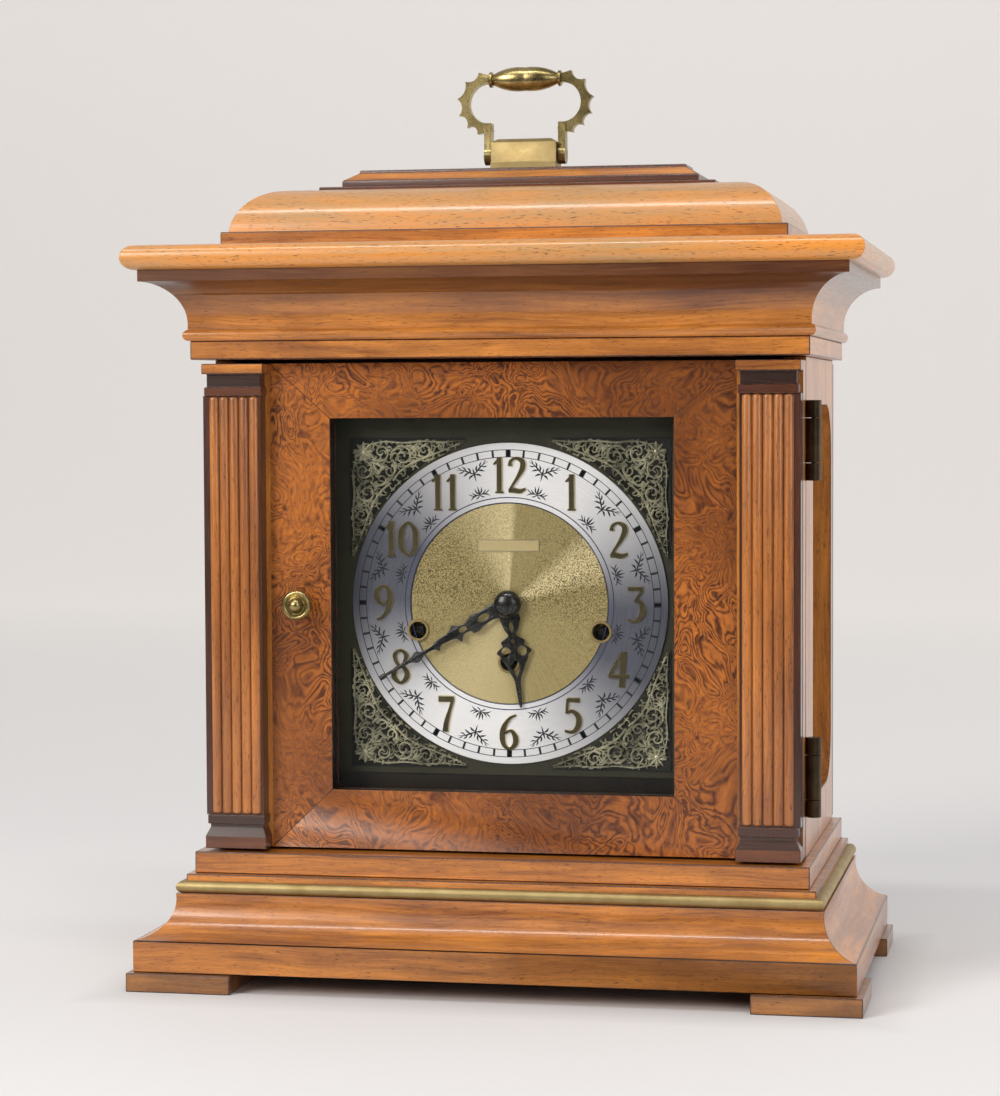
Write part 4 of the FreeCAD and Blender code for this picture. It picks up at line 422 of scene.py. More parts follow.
def make_paper():
    """Studio paper that glows a little, less in front, and not under the clock, where the missing glow is a
    painted contact shadow.
    """
    tree, shader, place = material("studio_paper", Roughness=0.75, Emission_Strength=looks().paper_glow)
    grain = noise(tree, place, 300.0, 3.0).outputs[0]
    paper = tuple(looks().paper)
    painted(tree, shader, blended(tree, grain, (*paper, 1.0), (*(0.985 * part for part in paper), 1.0)))
    # Painted contact shadow: no glow under the clock's footprint, fading in over a few centimetres round it.
    spot = add(tree, "SeparateXYZ", {0: place})
    beside = ranged(tree, sums(tree, "ABSOLUTE", spot.outputs[0]), 0.165, 0.2)
    before = ranged(tree, sums(tree, "ABSOLUTE", spot.outputs[1]), 0.09, 0.13)
    clear = sums(tree, "MAXIMUM", beside, before)
    near = blended(tree, clear, (0.0, 0.0, 0.0, 1), (0.16, 0.16, 0.16, 1))
    far = ranged(tree, spot.outputs[1], 0.4, 2.6)
    tree.links.new(blended(tree, far, near, (0.406, 0.383, 0.36, 1)), shader.inputs["Emission Color"])


def make_materials():
    wood_grain_group()
    burl_group()
    wear_group()
    make_woods()
    make_metals()
    make_glass_and_cloth()
    make_paper()


# Mesh helpers


def copied(node):
    """A CAD node's mesh with its doubles merged and its flat faces joined."""
    bm = bmesh.new()
    bm.from_mesh(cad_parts[node].data)
    bmesh.ops.remove_doubles(bm, verts=bm.verts, dist=0.00001)
    bmesh.ops.dissolve_limit(bm, angle_limit=math.radians(0.5), verts=bm.verts, edges=bm.edges)
    for face in bm.faces:
        face.material_index = 0
    return bm


def new_object(name, data):
    """An object in the scene's own collection."""
    item = bpy.data.objects.new(name, data)
    bpy.context.scene.collection.objects.link(item)
    return item


def evaluated(item):
    """A bmesh of a scratch object as its modifiers or its curve make it; the object is removed."""
    bpy.context.view_layer.update()
    seen = item.evaluated_get(bpy.context.evaluated_depsgraph_get())
    mesh = bpy.data.meshes.new_from_object(seen)
    bpy.data.objects.remove(item)
    bm = bmesh.new()
    bm.from_mesh(mesh)
    bpy.data.meshes.remove(mesh)
    return bm


def eased_edges(item, width, angle):
    """Eases an object's edges that are sharper than an angle in degrees, by a width in mm."""
    edges = item.modifiers.new("Eased edges", "BEVEL")
    edges.width = width * MM
    edges.segments = 2
    edges.limit_method = "ANGLE"
    edges.angle_limit = math.radians(angle)
    return edges


def made(name, bm, materials, bevel=0.0, glaze_and_shade=None, angle=28.0, sharp=30.0):
    """A finished object from a bmesh, with smooth faces, sharp creases and eased edges."""
    mesh = bpy.data.meshes.new(name)
    bm.to_mesh(mesh)
    bm.free()
    for label in materials:
        mesh.materials.append(MATERIALS[label])
    for face in mesh.polygons:
        face.use_smooth = True
    mesh.set_sharp_from_angle(angle=math.radians(sharp))
    item = new_object(name, mesh)
    if bevel:
        edges = eased_edges(item, bevel, angle)
        edges.harden_normals = True
        # The eased faces take the dark edge material: real glaze on outer edges, painted shade in inner
        # creases.
        if glaze_and_shade:
            mesh.materials.append(MATERIALS[glaze_and_shade])
            edges.material = len(materials)
    return item


def fitted(item, body, slot, *nodes):
    """Hides what a piece replaces and attaches it to what it rides on; the slot is not used."""
    if nodes:
        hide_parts(*nodes)
    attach(item, body)


def dressed(node, body, slot, materials, rule=None, bevel=0.4, glaze_and_shade="edge_glaze_and_shade", angle=28.0):
    """A CAD node's own shape with eased edges, and its faces' finishes by a rule on their middles."""
    bm = copied(node)
    if rule:
        for face in bm.faces:
            face.material_index = rule(face.calc_center_median() / MM, face.normal)
    fitted(made(node + "_dressed", bm, materials, bevel, glaze_and_shade, angle), body, slot, node)


def plain(node, body, slot, label, bevel=0.15, angle=28.0):
    """A CAD node's own shape in one finish, its edges eased but without the dark edge material of glaze and
    painted crease shade.
    """
    dressed(node, body, slot, [label], None, bevel, None, angle)


def finish_node(node, label):
    """Gives a CAD node that stays its finish."""
    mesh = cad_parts[node].data
    if len(mesh.materials) == 0:
        mesh.materials.append(MATERIALS[label])
    for number in range(len(mesh.materials)):
        mesh.materials[number] = MATERIALS[label]


def side_run(middle, normal):
    """Side runs of a moulding have their grain along the case's depth."""
    beside = abs(middle.x) - MITRE_ACROSS > MITRE_DEEP - middle.y
    return 1 if beside and normal.y < 0.6 else 0


def side_face(middle, normal):
    """A board's side edges show grain along the case's depth."""
    return 1 if abs(normal.x) > 0.6 else 0


def ring_of(bm, points):
    """New vertices at points in mm."""
    return [bm.verts.new([part * MM for part in point]) for point in points]


def bridged(bm, rows, closed=True, slot=0):
    """Faces between rows of vertices."""
    for first, second in zip(rows, rows[1:]):
        count = len(first)
        for number in range(count if closed else count - 1):
            after = (number + 1) % count
            face = bm.faces.new((first[number], first[after], second[after], second[number]))
            face.material_index = slot


def tube(bm, rows, slot=0):
    """Faces between closed rows of vertices, and one at either end."""
    bridged(bm, rows, slot=slot)
    for row in (rows[0], rows[-1]):
        bm.faces.new(row).material_index = slot


def cleaned(bm):
    bmesh.ops.remove_doubles(bm, verts=bm.verts, dist=0.000002)
    bmesh.ops.recalc_face_normals(bm, faces=bm.faces)
    return bm


def oval(across, up, wide, tall, steps=20):
    """Points of an oval about a middle, from its half width and half height."""
    turns = [2 * math.pi * step / steps for step in range(steps)]
    return [(across + wide * math.cos(turn), up + tall * math.sin(turn)) for turn in turns]


def lathe(bm, outline, across, up, steps=48):
    """Turns an outline of (radius, y) round a line that runs from front to back, in mm."""
    rows = [ring_of(bm, [(x, deep, z) for x, z in oval(across, up, radius, radius, steps)])
            for radius, deep in outline]
    tube(bm, rows)


def brick(bm, low, high, slot=0):
    """A block between two corners, in mm."""
    corners = [(low[0], low[1]), (high[0], low[1]), (high[0], high[1]), (low[0], high[1])]
    rows = [ring_of(bm, [(across, deep, level) for across, deep in corners]) for level in (low[2], high[2])]
    tube(bm, rows, slot)


def eased(points, steps=6, closed=False):
    """A smooth line through points of any size, by Catmull and Rom's rule."""
    count = len(points)
    line = []
    spans = count if closed else count - 1
    for number in range(spans):
        if closed:
            four = [points[(number + shift) % count] for shift in (-1, 0, 1, 2)]
        else:
            four = [points[max(0, min(count - 1, number + shift))] for shift in (-1, 0, 1, 2)]
        for step in range(steps):
            part = step / steps
            line.append(tuple(
                0.5 * (2 * b + (c - a) * part + (2 * a - 5 * b + 4 * c - d) * part ** 2
                       + (3 * b - a - 3 * c + d) * part ** 3)
                for a, b, c, d in zip(*four)))
    if not closed:
        line.append(tuple(points[-1]))
    return line


def stroke(bm, line, back, front, closed=False, flat=0.5, slots=(0, 0), place=None):
    """A raised stroke along a line of (x, z, width) in mm, with a flat face and sloping sides."""
    rows = []
    count = len(line)
    for number, (across, up, wide) in enumerate(line):
        before = line[number - 1] if number or closed else line[number]
        after = line[(number + 1) % count] if number < count - 1 or closed else line[number]
        run = Vector((after[0] - before[0], after[1] - before[1]))
        if run.length < 1e-6:
            run = Vector((0, 1))
        run.normalize()
        side = Vector((run.y, -run.x))
        half = wide / 2
        top = half * flat
        row = []
        for share, level in ((half, back), (top, front), (-top, front), (-half, back)):
            spot = (across + side.x * share, up + side.y * share)
            if place:
                spot = place(*spot)
            row.append((spot[0], level, spot[1]))
        rows.append(ring_of(bm, row))
    if closed:
        rows.append(rows[0])
    for first, second in zip(rows, rows[1:]):
        for number in range(4):
            after = (number + 1) % 4
            face = bm.faces.new((first[number], first[after], second[after], second[number]))
            face.material_index = slots[0] if number == 1 else slots[1]
    if not closed:
        for row in (rows[0], rows[-1]):
            bm.faces.new(row).material_index = slots[1]


def plate(outlines, back, front, ease, place):
    """A bmesh of a flat plate with holes from outlines of (u, v) in mm, its edges eased."""
    curve = bpy.data.curves.new("plate", "CURVE")
    curve.dimensions = "2D"
    curve.fill_mode = "BOTH"
    curve.extrude = (abs(back - front) / 2 - ease) * MM
    curve.bevel_depth = ease * MM
    curve.bevel_resolution = 1
    curve.offset = -ease * MM
    for outline in outlines:
        spline = curve.splines.new("POLY")
        spline.points.add(len(outline) - 1)
        for point, (u, v) in zip(spline.points, outline):
            point.co = (u * MM, v * MM, 0, 1)
        spline.use_cyclic_u = True
    bm = evaluated(new_object("plate", curve))
    bpy.data.curves.remove(curve)
    middle = (back + front) / 2 * MM
    for vert in bm.verts:
        across, up = place(vert.co.x / MM, vert.co.y / MM)
        vert.co = Vector((across * MM, middle - vert.co.z, up * MM))
    return cleaned(bm)


def joined(bm, other):
    """Adds another bmesh to the first."""
    mesh = bpy.data.meshes.new("join")
    other.to_mesh(mesh)
    other.free()
    bm.from_mesh(mesh)
    bpy.data.meshes.remove(mesh)


def flat_ring(bm, inner, outer, back, front):
    """A thin flat ring round the dial's centre."""
    rows = [ring_of(bm, [(across, level, up) for across, up in oval(0, DIAL_Z, radius, radius, 160)])
            for radius, level in ((inner, back), (inner, front), (outer, front), (outer, back))]
    rows.append(rows[0])
    bridged(bm, rows)


# Geometry Nodes for what repeats


def repeat_tree(name, inputs):
    """A Geometry Nodes group that repeats one form in one finish."""
    inputs = [("Form", "object"), ("Count", "count"), *inputs, ("Finish", "material")]
    return new_tree(name, "GeometryNodeTree", inputs, [("Geometry", "geometry")])


def ring_repeat():
    """Copies of a form turned round the dial's centre."""
    tree, given, out = repeat_tree("Ring Repeat", [("First Turn", "number"), ("Level", "number")])
    points = node_of(tree, "GeometryNodeMeshLine", {"Count": given["Count"], "Offset": (0, 0, 0)})
    index = node_of(tree, "GeometryNodeInputIndex").outputs[0]
    step = sums(tree, "DIVIDE", 2 * math.pi, given["Count"])
    turn = sums(tree, "MULTIPLY_ADD", index, step, given["First Turn"])
    angles = add(tree, "CombineXYZ", {1: turn}).outputs[0]
    placed = on_points(tree, given, points.outputs[0], {"Rotation": angles})
    lift = add(tree, "CombineXYZ", {2: given["Level"]}).outputs[0]
    raised = node_of(tree, "GeometryNodeTransform", {"Geometry": placed, "Translation": lift})
    finished_copies(tree, raised.outputs[0], given["Finish"], out)


def row_repeat():
    """Copies of a form in a row about a middle."""
    tree, given, out = repeat_tree("Row Repeat", [("Pitch", "number"), ("Middle", "number")])
    gap = add(tree, "CombineXYZ", {0: given["Pitch"]}).outputs[0]
    less = sums(tree, "SUBTRACT", given["Count"], 1.0)
    half = sums(tree, "MULTIPLY", less, given["Pitch"])
    first = sums(tree, "MULTIPLY_ADD", half, -0.5, given["Middle"])
    start = add(tree, "CombineXYZ", {0: first}).outputs[0]
    points = node_of(tree, "GeometryNodeMeshLine", {
        "Count": given["Count"], "Start Location": start, "Offset": gap})
    finished_copies(tree, on_points(tree, given, points.outputs[0]), given["Finish"], out)


def on_points(tree, given, points, more=None):
    """Instances of the given form on points."""
    form = node_of(tree, "GeometryNodeObjectInfo", {"Object": given["Form"]})
    inputs = {"Points": points, "Instance": form.outputs["Geometry"], **(more or {})}
    return node_of(tree, "GeometryNodeInstanceOnPoints", inputs).outputs[0]


def finished_copies(tree, copies, finish, out):
    """The end of a repeat tree: real copies in their finish."""
    real = node_of(tree, "GeometryNodeRealizeInstances", {0: copies})
    done = node_of(tree, "GeometryNodeSetMaterial", {"Geometry": real.outputs[0], "Material": finish})
    give(tree, out, done.outputs[0])


def repeated(tree_name, form_bm, values, finish):
    """A plain bmesh of a form repeated by one of the trees."""
    tree = TREES[tree_name]
    mesh = bpy.data.meshes.new("form")
    form_bm.to_mesh(mesh)
    form_bm.free()
    form = new_object("form", mesh)
    holder = new_object("holder", bpy.data.meshes.new("holder"))
    modifier = holder.modifiers.new("Repeat", "NODES")
    modifier.node_group = tree
    values = dict(values, Form=form, Finish=MATERIALS[finish])
    for socket in tree.interface.items_tree:
        if socket.in_out == "INPUT":
            modifier[socket.identifier] = values[socket.name]
    bm = evaluated(holder)
    bpy.data.objects.remove(form)
    for face in bm.faces:
        face.material_index = 0
    return bm


# The clock's pieces


class ClockOperator:
    """What every operator of the clock shares."""
    bl_options = {"REGISTER", "UNDO"}

    def execute(self, context):
        self.build()
        return {"FINISHED"}


class CLOCK_OT_stage(ClockOperator, bpy.types.Operator):
    """Makes the pale floor and backdrop, the lights and the camera"""
    bl_idname = "clock.stage"
    bl_label = "Stage"

    def build(self):
        self.sweep()
        self.lamps()
        self.air()
        self.camera()
        bpy.context.scene.view_settings.view_transform = "Standard"

    def sweep(self):
        """A floor that curves up into a wall, and an apron that carries it on towards the camera."""
        half, near, far, radius, top = 6.0, -0.85, 2.6, 1.0, 4.0
        profile = [(near, 0.0), (far, 0.0)]
        for step in range(1, 13):
            angle = math.pi / 2 * step / 12
            profile.append((far + radius * math.sin(angle), radius - radius * math.cos(angle)))
        profile.append((far + radius, top))
        bm = bmesh.new()
        rows = [[bm.verts.new((across, deep, up)) for deep, up in profile] for across in (-half, half)]
        bridged(bm, rows, closed=False)
        floor = made("studio_sweep", cleaned(bm), ["studio_paper"])
        bm = bmesh.new()
        corners = [(-half, -6.0), (half, -6.0), (half, near), (-half, near)]
        bm.faces.new([bm.verts.new((across, deep, 0.0)) for across, deep in corners])
        apron = made("studio_apron", bm, ["studio_paper"])
        apron.visible_glossy = False

    def lamps(self):
        """Four area lights: name, place, aim, size, power and colour."""
        for name, spot, aim, size, watts, colour in (
                ("key_light", (-1.5, -2.0, 1.35), (0, 0, 0.22), (1.2, 1.2), 62.0, (1.0, 0.97, 0.93)),
                ("fill_light", (1.4, -1.9, 0.9), (0, 0, 0.2), (1.2, 1.2), 14.0, (1.0, 0.98, 0.96)),
                ("side_panel_light", (2.2, 0.75, 0.7), (0.15, 0, 0.2), (1.7, 1.7), 24.0, (1.0, 0.985, 0.97)),
                ("strip_light", (0.0, -0.75, 2.0), (0, 0, 0.3), (1.7, 0.18), 17.0, (1.0, 0.99, 0.97))):
            light = bpy.data.lights.new(name, "AREA")
            light.shape = "RECTANGLE"
            light.size, light.size_y = size
            light.energy = watts * looks().light_strength
            light.color = colour
            lamp = new_object(name, light)
            lamp.visible_camera = False
            way = Vector(aim) - Vector(spot)
            lamp.matrix_world = Matrix.Translation(spot) @ way.to_track_quat("-Z", "Y").to_matrix().to_4x4()

    def air(self):
        """Light from all round, stronger from behind and from above."""
        world = bpy.data.worlds.new("studio_air")
        world.use_nodes = True
        tree = world.node_tree
        way = add(tree, "SeparateXYZ", {0: add(tree, "TexCoord").outputs["Generated"]})
        depth = ranged(tree, way.outputs[1], -0.35, 0.5, 0.1, 1.0)
        rise = ranged(tree, way.outputs[2], 0.1, 0.9, 0.0, 0.5)
        strength = sums(tree, "MULTIPLY", sums(tree, "ADD", depth, rise), looks().air_strength)
        tree.links.new(strength, tree.nodes["Background"].inputs[1])
        tree.nodes["Background"].inputs[0].default_value = (0.93, 0.915, 0.9, 1)
        bpy.context.scene.world = world

    def camera(self):
        """The camera whose lens, place and turn were fitted to the photograph."""
        lens = bpy.data.cameras.new("photo_camera")
        lens.lens = 95.896
        lens.sensor_width = 36.0
        lens.sensor_fit = "AUTO"
        lens.shift_x = -0.00791
        lens.shift_y = 0.00874
        lens.clip_start = 0.05
        lens.clip_end = 30.0
        camera = new_object("photo_camera", lens)
        across = Vector((0.98010, 0.19845, -0.00445)).normalized()
        back = Vector((0.19841, -0.97881, 0.05059)).normalized()
        up = back.cross(across).normalized()
        across = up.cross(back)
        turn = Matrix((across, up, back)).transposed().to_4x4()
        camera.matrix_world = Matrix.Translation((0.28166, -1.42769, 0.27907)) @ turn
        bpy.context.scene.camera = camera


class CLOCK_OT_base(ClockOperator, bpy.types.Operator):
    """Dresses the feet, plinth, base coves, brass band and the two boards under the door"""
    bl_idname = "clock.base"
    bl_label = "Base"

    def build(self):
        ease = looks().edge_ease
        dressed("corner_feet", "case", "wood", ["foot_shade_wood_x"], None, ease)
        for node in ("plinth_rails", "base_coves"):
            dressed(node, "case", "wood", ["case_wood_x", "case_wood_y"], side_run, ease)
        plain("brass_bands", "case", "brass", "satin_brass")
        for node in ("step_board", "base_board"):
            dressed(node, "case", "wood", ["case_wood_x", "case_wood_y"], side_face, ease)
        dressed("bottom_board", "case", "dark_wood", ["inner_wood"], None, 0.3)


class CLOCK_OT_cornice(ClockOperator, bpy.types.Operator):
    """Dresses the frieze board, the cornice mouldings and the top board with its rounded nose"""
    bl_idname = "clock.cornice"
    bl_label = "Cornice"

    def build(self):
        ease = looks().edge_ease
        dressed("frieze_board", "case", "wood", ["case_wood_x", "case_wood_y"], side_face, ease)
        dressed("cornice_mouldings", "case", "wood", ["cornice_wood_x", "cornice_wood_y"], side_run,
                ease * 0.6)
        dressed("top_board", "case", "wood", ["honey_wood_x", "honey_wood_y"], side_face, 0.4, None)


class CLOCK_OT_caddy(ClockOperator, bpy.types.Operator):
    """Dresses the caddy top: its base board, cushion and cap"""
    bl_idname = "clock.caddy"
    bl_label = "Caddy Top"

    def build(self):
        ease = looks().edge_ease
        dressed("caddy_base", "case", "wood", ["case_wood_x"], None, ease)
        dressed("caddy_cushion", "case", "wood", ["honey_wood_x", "honey_wood_y"],
                lambda middle, normal: 1 if abs(normal.x) > abs(normal.y) else 0, 0.25, None)
        dressed("caddy_cap", "case", "wood", ["deep_wood_x", "case_wood_x"],
                lambda middle, normal: 1 if 0.2 < normal.z < 0.95 else 0, ease)


class CLOCK_OT_sides(ClockOperator, bpy.types.Operator):
    """Dresses the side panels and stretches the sound cloth behind their openings"""
    bl_idname = "clock.sides"
    bl_label = "Sides"

    def build(self):
        for node in ("side_panel_left", "side_panel_right"):
            dressed(node, "case", "veneer", ["case_wood_z"], None, 0.5)
        out, front, low = 134.0, -17.1, 82.8
        wide, tall, belly = 107.5, 203.6, 0.12
        for side, word in ((-1, "left"), (1, "right")):
            bm = bmesh.new()
            rows = []
            for row in range(41):
                line = []
                for column in range(25):
                    bulge = belly * math.sin(math.pi * row / 40) * math.sin(math.pi * column / 24)
                    line.append((side * (out + bulge), front + wide * column / 24, low + tall * row / 40))
                rows.append(ring_of(bm, line))
            bridged(bm, rows, closed=False)
            item = made("sound_cloth_" + word, cleaned(bm), ["sound_cloth"])
            thick = item.modifiers.new("Cloth thickness", "SOLIDIFY")
            thick.thickness = 0.3 * MM
            thick.offset = 0.0
            fitted(item, "case", "cloth", "side_cloths")


class CLOCK_OT_door(ClockOperator, bpy.types.Operator):
    """Dresses the front door's frame with burr veneer, its stops, glass and knob"""
    bl_idname = "clock.door"
    bl_label = "Front Door"

    def build(self):
        veneer_edge, opening = 113.9, 90
        for node, back in (("door_stiles", "case_wood_z"), ("door_rails", "case_wood_x")):
            bm = copied(node)
            for side in (-veneer_edge, veneer_edge):
                bmesh.ops.bisect_plane(bm, geom=bm.verts[:] + bm.edges[:] + bm.faces[:],
                                       plane_co=(side * MM, 0, 0), plane_no=(1, 0, 0))
            for face in bm.faces:
                middle = face.calc_center_median() / MM
                if face.normal.y < -0.5 and abs(middle.x) < veneer_edge:
                    face.material_index = 0
                elif abs(middle.x) < opening and abs(face.normal.y) < 0.5:
                    face.material_index = 2
                else:
                    face.material_index = 1
            item = made(node + "_dressed", bm, ["burr_veneer", back, "dark_lining"], 0.35, "edge_glaze_and_shade")
            fitted(item, "front_door", "veneer", node)
        finish_node("door_glass", "clear_glass")
        dressed("glass_stops", "front_door", "dark_wood", ["dark_lining"], None, 0.3)
        bm = bmesh.new()
        outline = [(4.4, -58.4), (4.6, -59.4), (3.2, -60.4), (2.9, -62.6), (3.4, -64.2), (5.6, -65.2),
                   (7.0, -66.3), (7.3, -67.6), (7.0, -68.7), (6.2, -69.3), (5.4, -69.1), (4.5, -68.4),
                   (3.9, -68.5), (3.5, -69.6), (2.8, -70.9), (1.6, -71.8), (0.4, -72.1)]
        knob_across, knob_up = -98.85, 185.05
        lathe(bm, eased(outline, 4), knob_across, knob_up)
        fitted(made("knob_turned", cleaned(bm), ["antique_brass"]), "front_door", "brass", "door_knob")


class CLOCK_OT_pilasters(ClockOperator, bpy.types.Operator):
    """Dresses the capitals and bases and makes the reeded shafts"""
    bl_idname = "clock.pilasters"
    bl_label = "Pilasters"

    def build(self):
        cap_low, neck_low, foot_top = 296.9, 290.6, 73.5

        # The capitals' necks, recessed under their top blocks, take the near-black painted shade wood.
        def capital(middle, normal):
            return 0 if middle.z > cap_low else 1 if middle.z > neck_low else 2

        # Above the foot, the bases' bevel and groove take the painted shade wood.
        def foot(middle, normal):
            return 0 if middle.z < foot_top else 1

        finishes = ["case_wood_x", "neck_shade_wood", "deep_wood_x"]
        dressed("pilaster_capitals", "front_door", "wood", finishes, capital)
        dressed("pilaster_bases", "front_door", "wood", ["deep_wood_x", "neck_shade_wood"], foot)
        bm = bmesh.new()
        board, half, reeds = 130.6, 14.4, 129.6
        front, back, low, high = -67.3, -58.5, 82.5, 286.3
        # The shafts' backing, seen between and beside the reeds, is in the dark painted shade wood.
        for side in (-1, 1):
            brick(bm, (side * board - half, front, low), (side * board + half, back, high), 1)
        for side in (-1, 1):
            joined(bm, self.reeds(side * reeds))
        item = made("pilaster_shafts_reeded", bm, ["honey_wood_z", "groove_shade_wood_z"])
        eased_edges(item, 0.35, 60)
        fitted(item, "front_door", "wood", "pilaster_shafts")

    def reeds(self, middle):
        """Five half-round reeds with rounded ends, repeated by the row tree."""
        form = bmesh.new()
        low, high, half, rise, rounded, front = 82.9, 286.1, 2.36, 1.5, 1.4, -67.2
        stations = []
        for step in range(7):
            angle = math.pi / 2 * step / 6
            stations.append((low + rounded * (1 - math.cos(angle)), max(math.sin(angle), 0.02)))
        stations += [(low + high - level, share) for level, share in reversed(stations)]
        rows = []
        for level, share in stations:
            row = []
            for step in range(11):
                angle = math.pi * step / 10
                row.append((-half * share * math.cos(angle), front - rise * share * math.sin(angle), level))
            rows.append(ring_of(form, row))
        tube(form, rows)
        bmesh.ops.recalc_face_normals(form, faces=form.faces)
        return repeated("Row Repeat", form, {"Count": 5, "Pitch": 4.95 * MM, "Middle": middle * MM},
                        "honey_wood_z")


class CLOCK_OT_hardware(ClockOperator, bpy.types.Operator):
    """Dresses the butt hinges and the back door"""
    bl_idname = "clock.hardware"
    bl_label = "Hinges and Back Door"

    def build(self):
        plain("hinge_case_leaves", "case", "bronze", "bronze")
        plain("hinge_door_leaves", "front_door", "bronze", "bronze")
        plain("back_door_leaves", "rear_door", "bronze", "bronze")
        finish_node("hinge_pins", "bronze")
        dressed("back_door", "rear_door", "dark_wood", ["inner_wood"], None, 0.5)
        dressed("dial_board", "case", "dark_wood", ["dark_lining"], None, 0.3)


class CLOCK_OT_handle(ClockOperator, bpy.types.Operator):
    """Dresses the bail handle and its mount"""
    bl_idname = "clock.handle"
    bl_label = "Handle"

    def build(self):
        plain("bail_handle", "handle", "brass", "antique_brass", 0.35, 35)
        plain("handle_mount", "case", "brass", "satin_brass", 0.35)


# Figures as strokes of (across, up, width) in mm about the figure's middle
DIGITS = {
    "0": [("loop", [(0, 8.0, 1.3), (3.2, 4.6, 2.7), (3.6, 0, 3.1), (3.2, -4.6, 2.7), (0, -8.0, 1.3),
                    (-3.2, -4.6, 2.7), (-3.6, 0, 3.1), (-3.2, 4.6, 2.7)])],
    "1": [("line", [(-3.0, 5.2, 0.8), (-1.6, 6.2, 1.5), (0.0, 7.7, 1.7)]),
          ("bar", [(0, 8.8, 2.7), (0, -8.6, 2.7)]), ("bar", [(-2.0, -8.4, 0.9), (2.0, -8.4, 0.9)])],
    "2": [("line", [(-3.3, 4.4, 2.3), (-2.9, 6.9, 1.7), (-0.2, 8.2, 1.5), (2.8, 6.6, 2.7), (2.9, 3.6, 2.9),
                    (0.9, -0.4, 2.0), (-1.6, -4.2, 1.4), (-3.8, -7.6, 1.2)]),
          ("line", [(-4.0, -7.7, 1.8), (-1.2, -7.4, 2.5), (1.6, -7.8, 2.3), (4.4, -6.6, 1.2)])],
    "3": [("bar", [(-3.7, 7.7, 2.1), (3.4, 7.7, 2.1)]), ("line", [(3.2, 7.2, 1.2), (-0.4, 2.0, 1.3)]),
          ("line", [(-0.6, 1.9, 1.2), (2.0, 1.2, 2.1), (3.3, -2.0, 3.1), (2.3, -5.9, 2.6), (-0.6, -8.0, 1.6),
                    (-3.9, -7.2, 1.3)])],
    "4": [("bar", [(2.3, 8.7, 2.9), (1.4, -8.7, 2.9)]), ("line", [(1.9, 8.2, 1.5), (-4.4, -2.6, 1.5)]),
          ("bar", [(-5.0, -3.3, 2.0), (4.8, -3.3, 2.0)])],
    "5": [("bar", [(-2.4, 7.7, 2.2), (3.7, 7.7, 2.2)]), ("line", [(-2.2, 8.2, 1.6), (-2.8, 1.2, 1.5)]),
          ("line", [(-2.9, 1.4, 1.3), (0.2, 2.2, 1.9), (3.1, -0.6, 3.0), (2.9, -4.9, 2.9), (0.2, -7.8, 1.8),
                    (-3.7, -7.4, 1.3)])],
    "6": [("line", [(3.4, 8.3, 0.9), (0.2, 6.6, 1.6), (-2.7, 2.0, 2.7), (-3.3, -3.0, 3.0), (-2.2, -6.8, 2.2),
                    (0.4, -8.1, 1.5), (3.0, -5.8, 2.7), (3.1, -2.4, 2.9), (1.0, 0.6, 1.7),
                    (-2.4, -0.9, 1.2)])],
    "7": [("bar", [(-3.9, 7.3, 3.0), (3.9, 7.3, 3.0)]),
          ("line", [(3.3, 7.2, 1.6), (1.8, 2.0, 1.9), (0.2, -3.6, 2.6), (-0.6, -8.7, 2.9)])],
    "8": [("loop", [(0, 8.0, 1.5), (2.8, 5.9, 2.3), (2.0, 2.2, 2.0), (0, 0.5, 1.6), (-2.0, 2.2, 2.0),
                    (-2.8, 5.9, 2.3)]),
          ("loop", [(0, 0.4, 1.5), (2.9, -2.0, 2.6), (3.0, -5.4, 2.8), (0, -8.0, 1.6), (-3.0, -5.4, 2.8),
                    (-2.9, -2.0, 2.6)])],
}
DIGITS["9"] = [(kind, [(-x, -z, wide) for x, z, wide in line]) for kind, line in DIGITS["6"]]


# Right halves of the etched sprays: across, out from the dial's centre and width of each leaf
OUTER_SPRAY = [
    [(0, -4.6, 0.15), (0, -2.6, 0.7), (0, -0.6, 0.9), (0, 1.4, 0.15)],
    [(0, -1.4, 0.4), (2.2, 0.2, 0.8), (4.6, 1.7, 0.5), (7.4, 2.6, 0.1)],
    [(0.4, -1.6, 0.3), (1.8, -1.9, 1.0), (3.0, -3.0, 0.1)],
    [(2.0, 0.0, 0.3), (3.6, -0.4, 0.9), (5.0, -1.2, 0.1)],
    [(4.0, 1.3, 0.2), (5.4, 0.8, 0.7), (6.6, 0.9, 0.1)],
    [(1.4, -0.4, 0.3), (1.5, 1.0, 0.9), (2.3, 2.3, 0.1)],
    [(3.2, 0.9, 0.2), (3.6, 2.2, 0.8), (4.6, 3.3, 0.1)],
    [(5.0, 1.9, 0.2), (5.8, 2.9, 0.5), (6.8, 3.5, 0.1)],
]
INNER_SPRAY = [
    [(0, -1.6, 0.3), (0, 0.6, 1.0), (0, 3.4, 0.1)],
    [(0.2, -0.8, 0.3), (1.3, 0.7, 0.9), (1.7, 2.6, 0.1)],
    [(0.2, -1.2, 0.3), (2.2, -0.5, 0.8), (3.6, 1.0, 0.1)],
    [(1.2, -1.0, 0.3), (3.2, -1.3, 0.8), (5.0, -2.6, 0.1)],
    [(2.6, -1.0, 0.2), (4.2, -0.3, 0.6), (5.2, 0.6, 0.1)],
    [(0.2, -1.4, 0.2), (1.2, -2.2, 0.7), (2.4, -2.6, 0.1)],
]


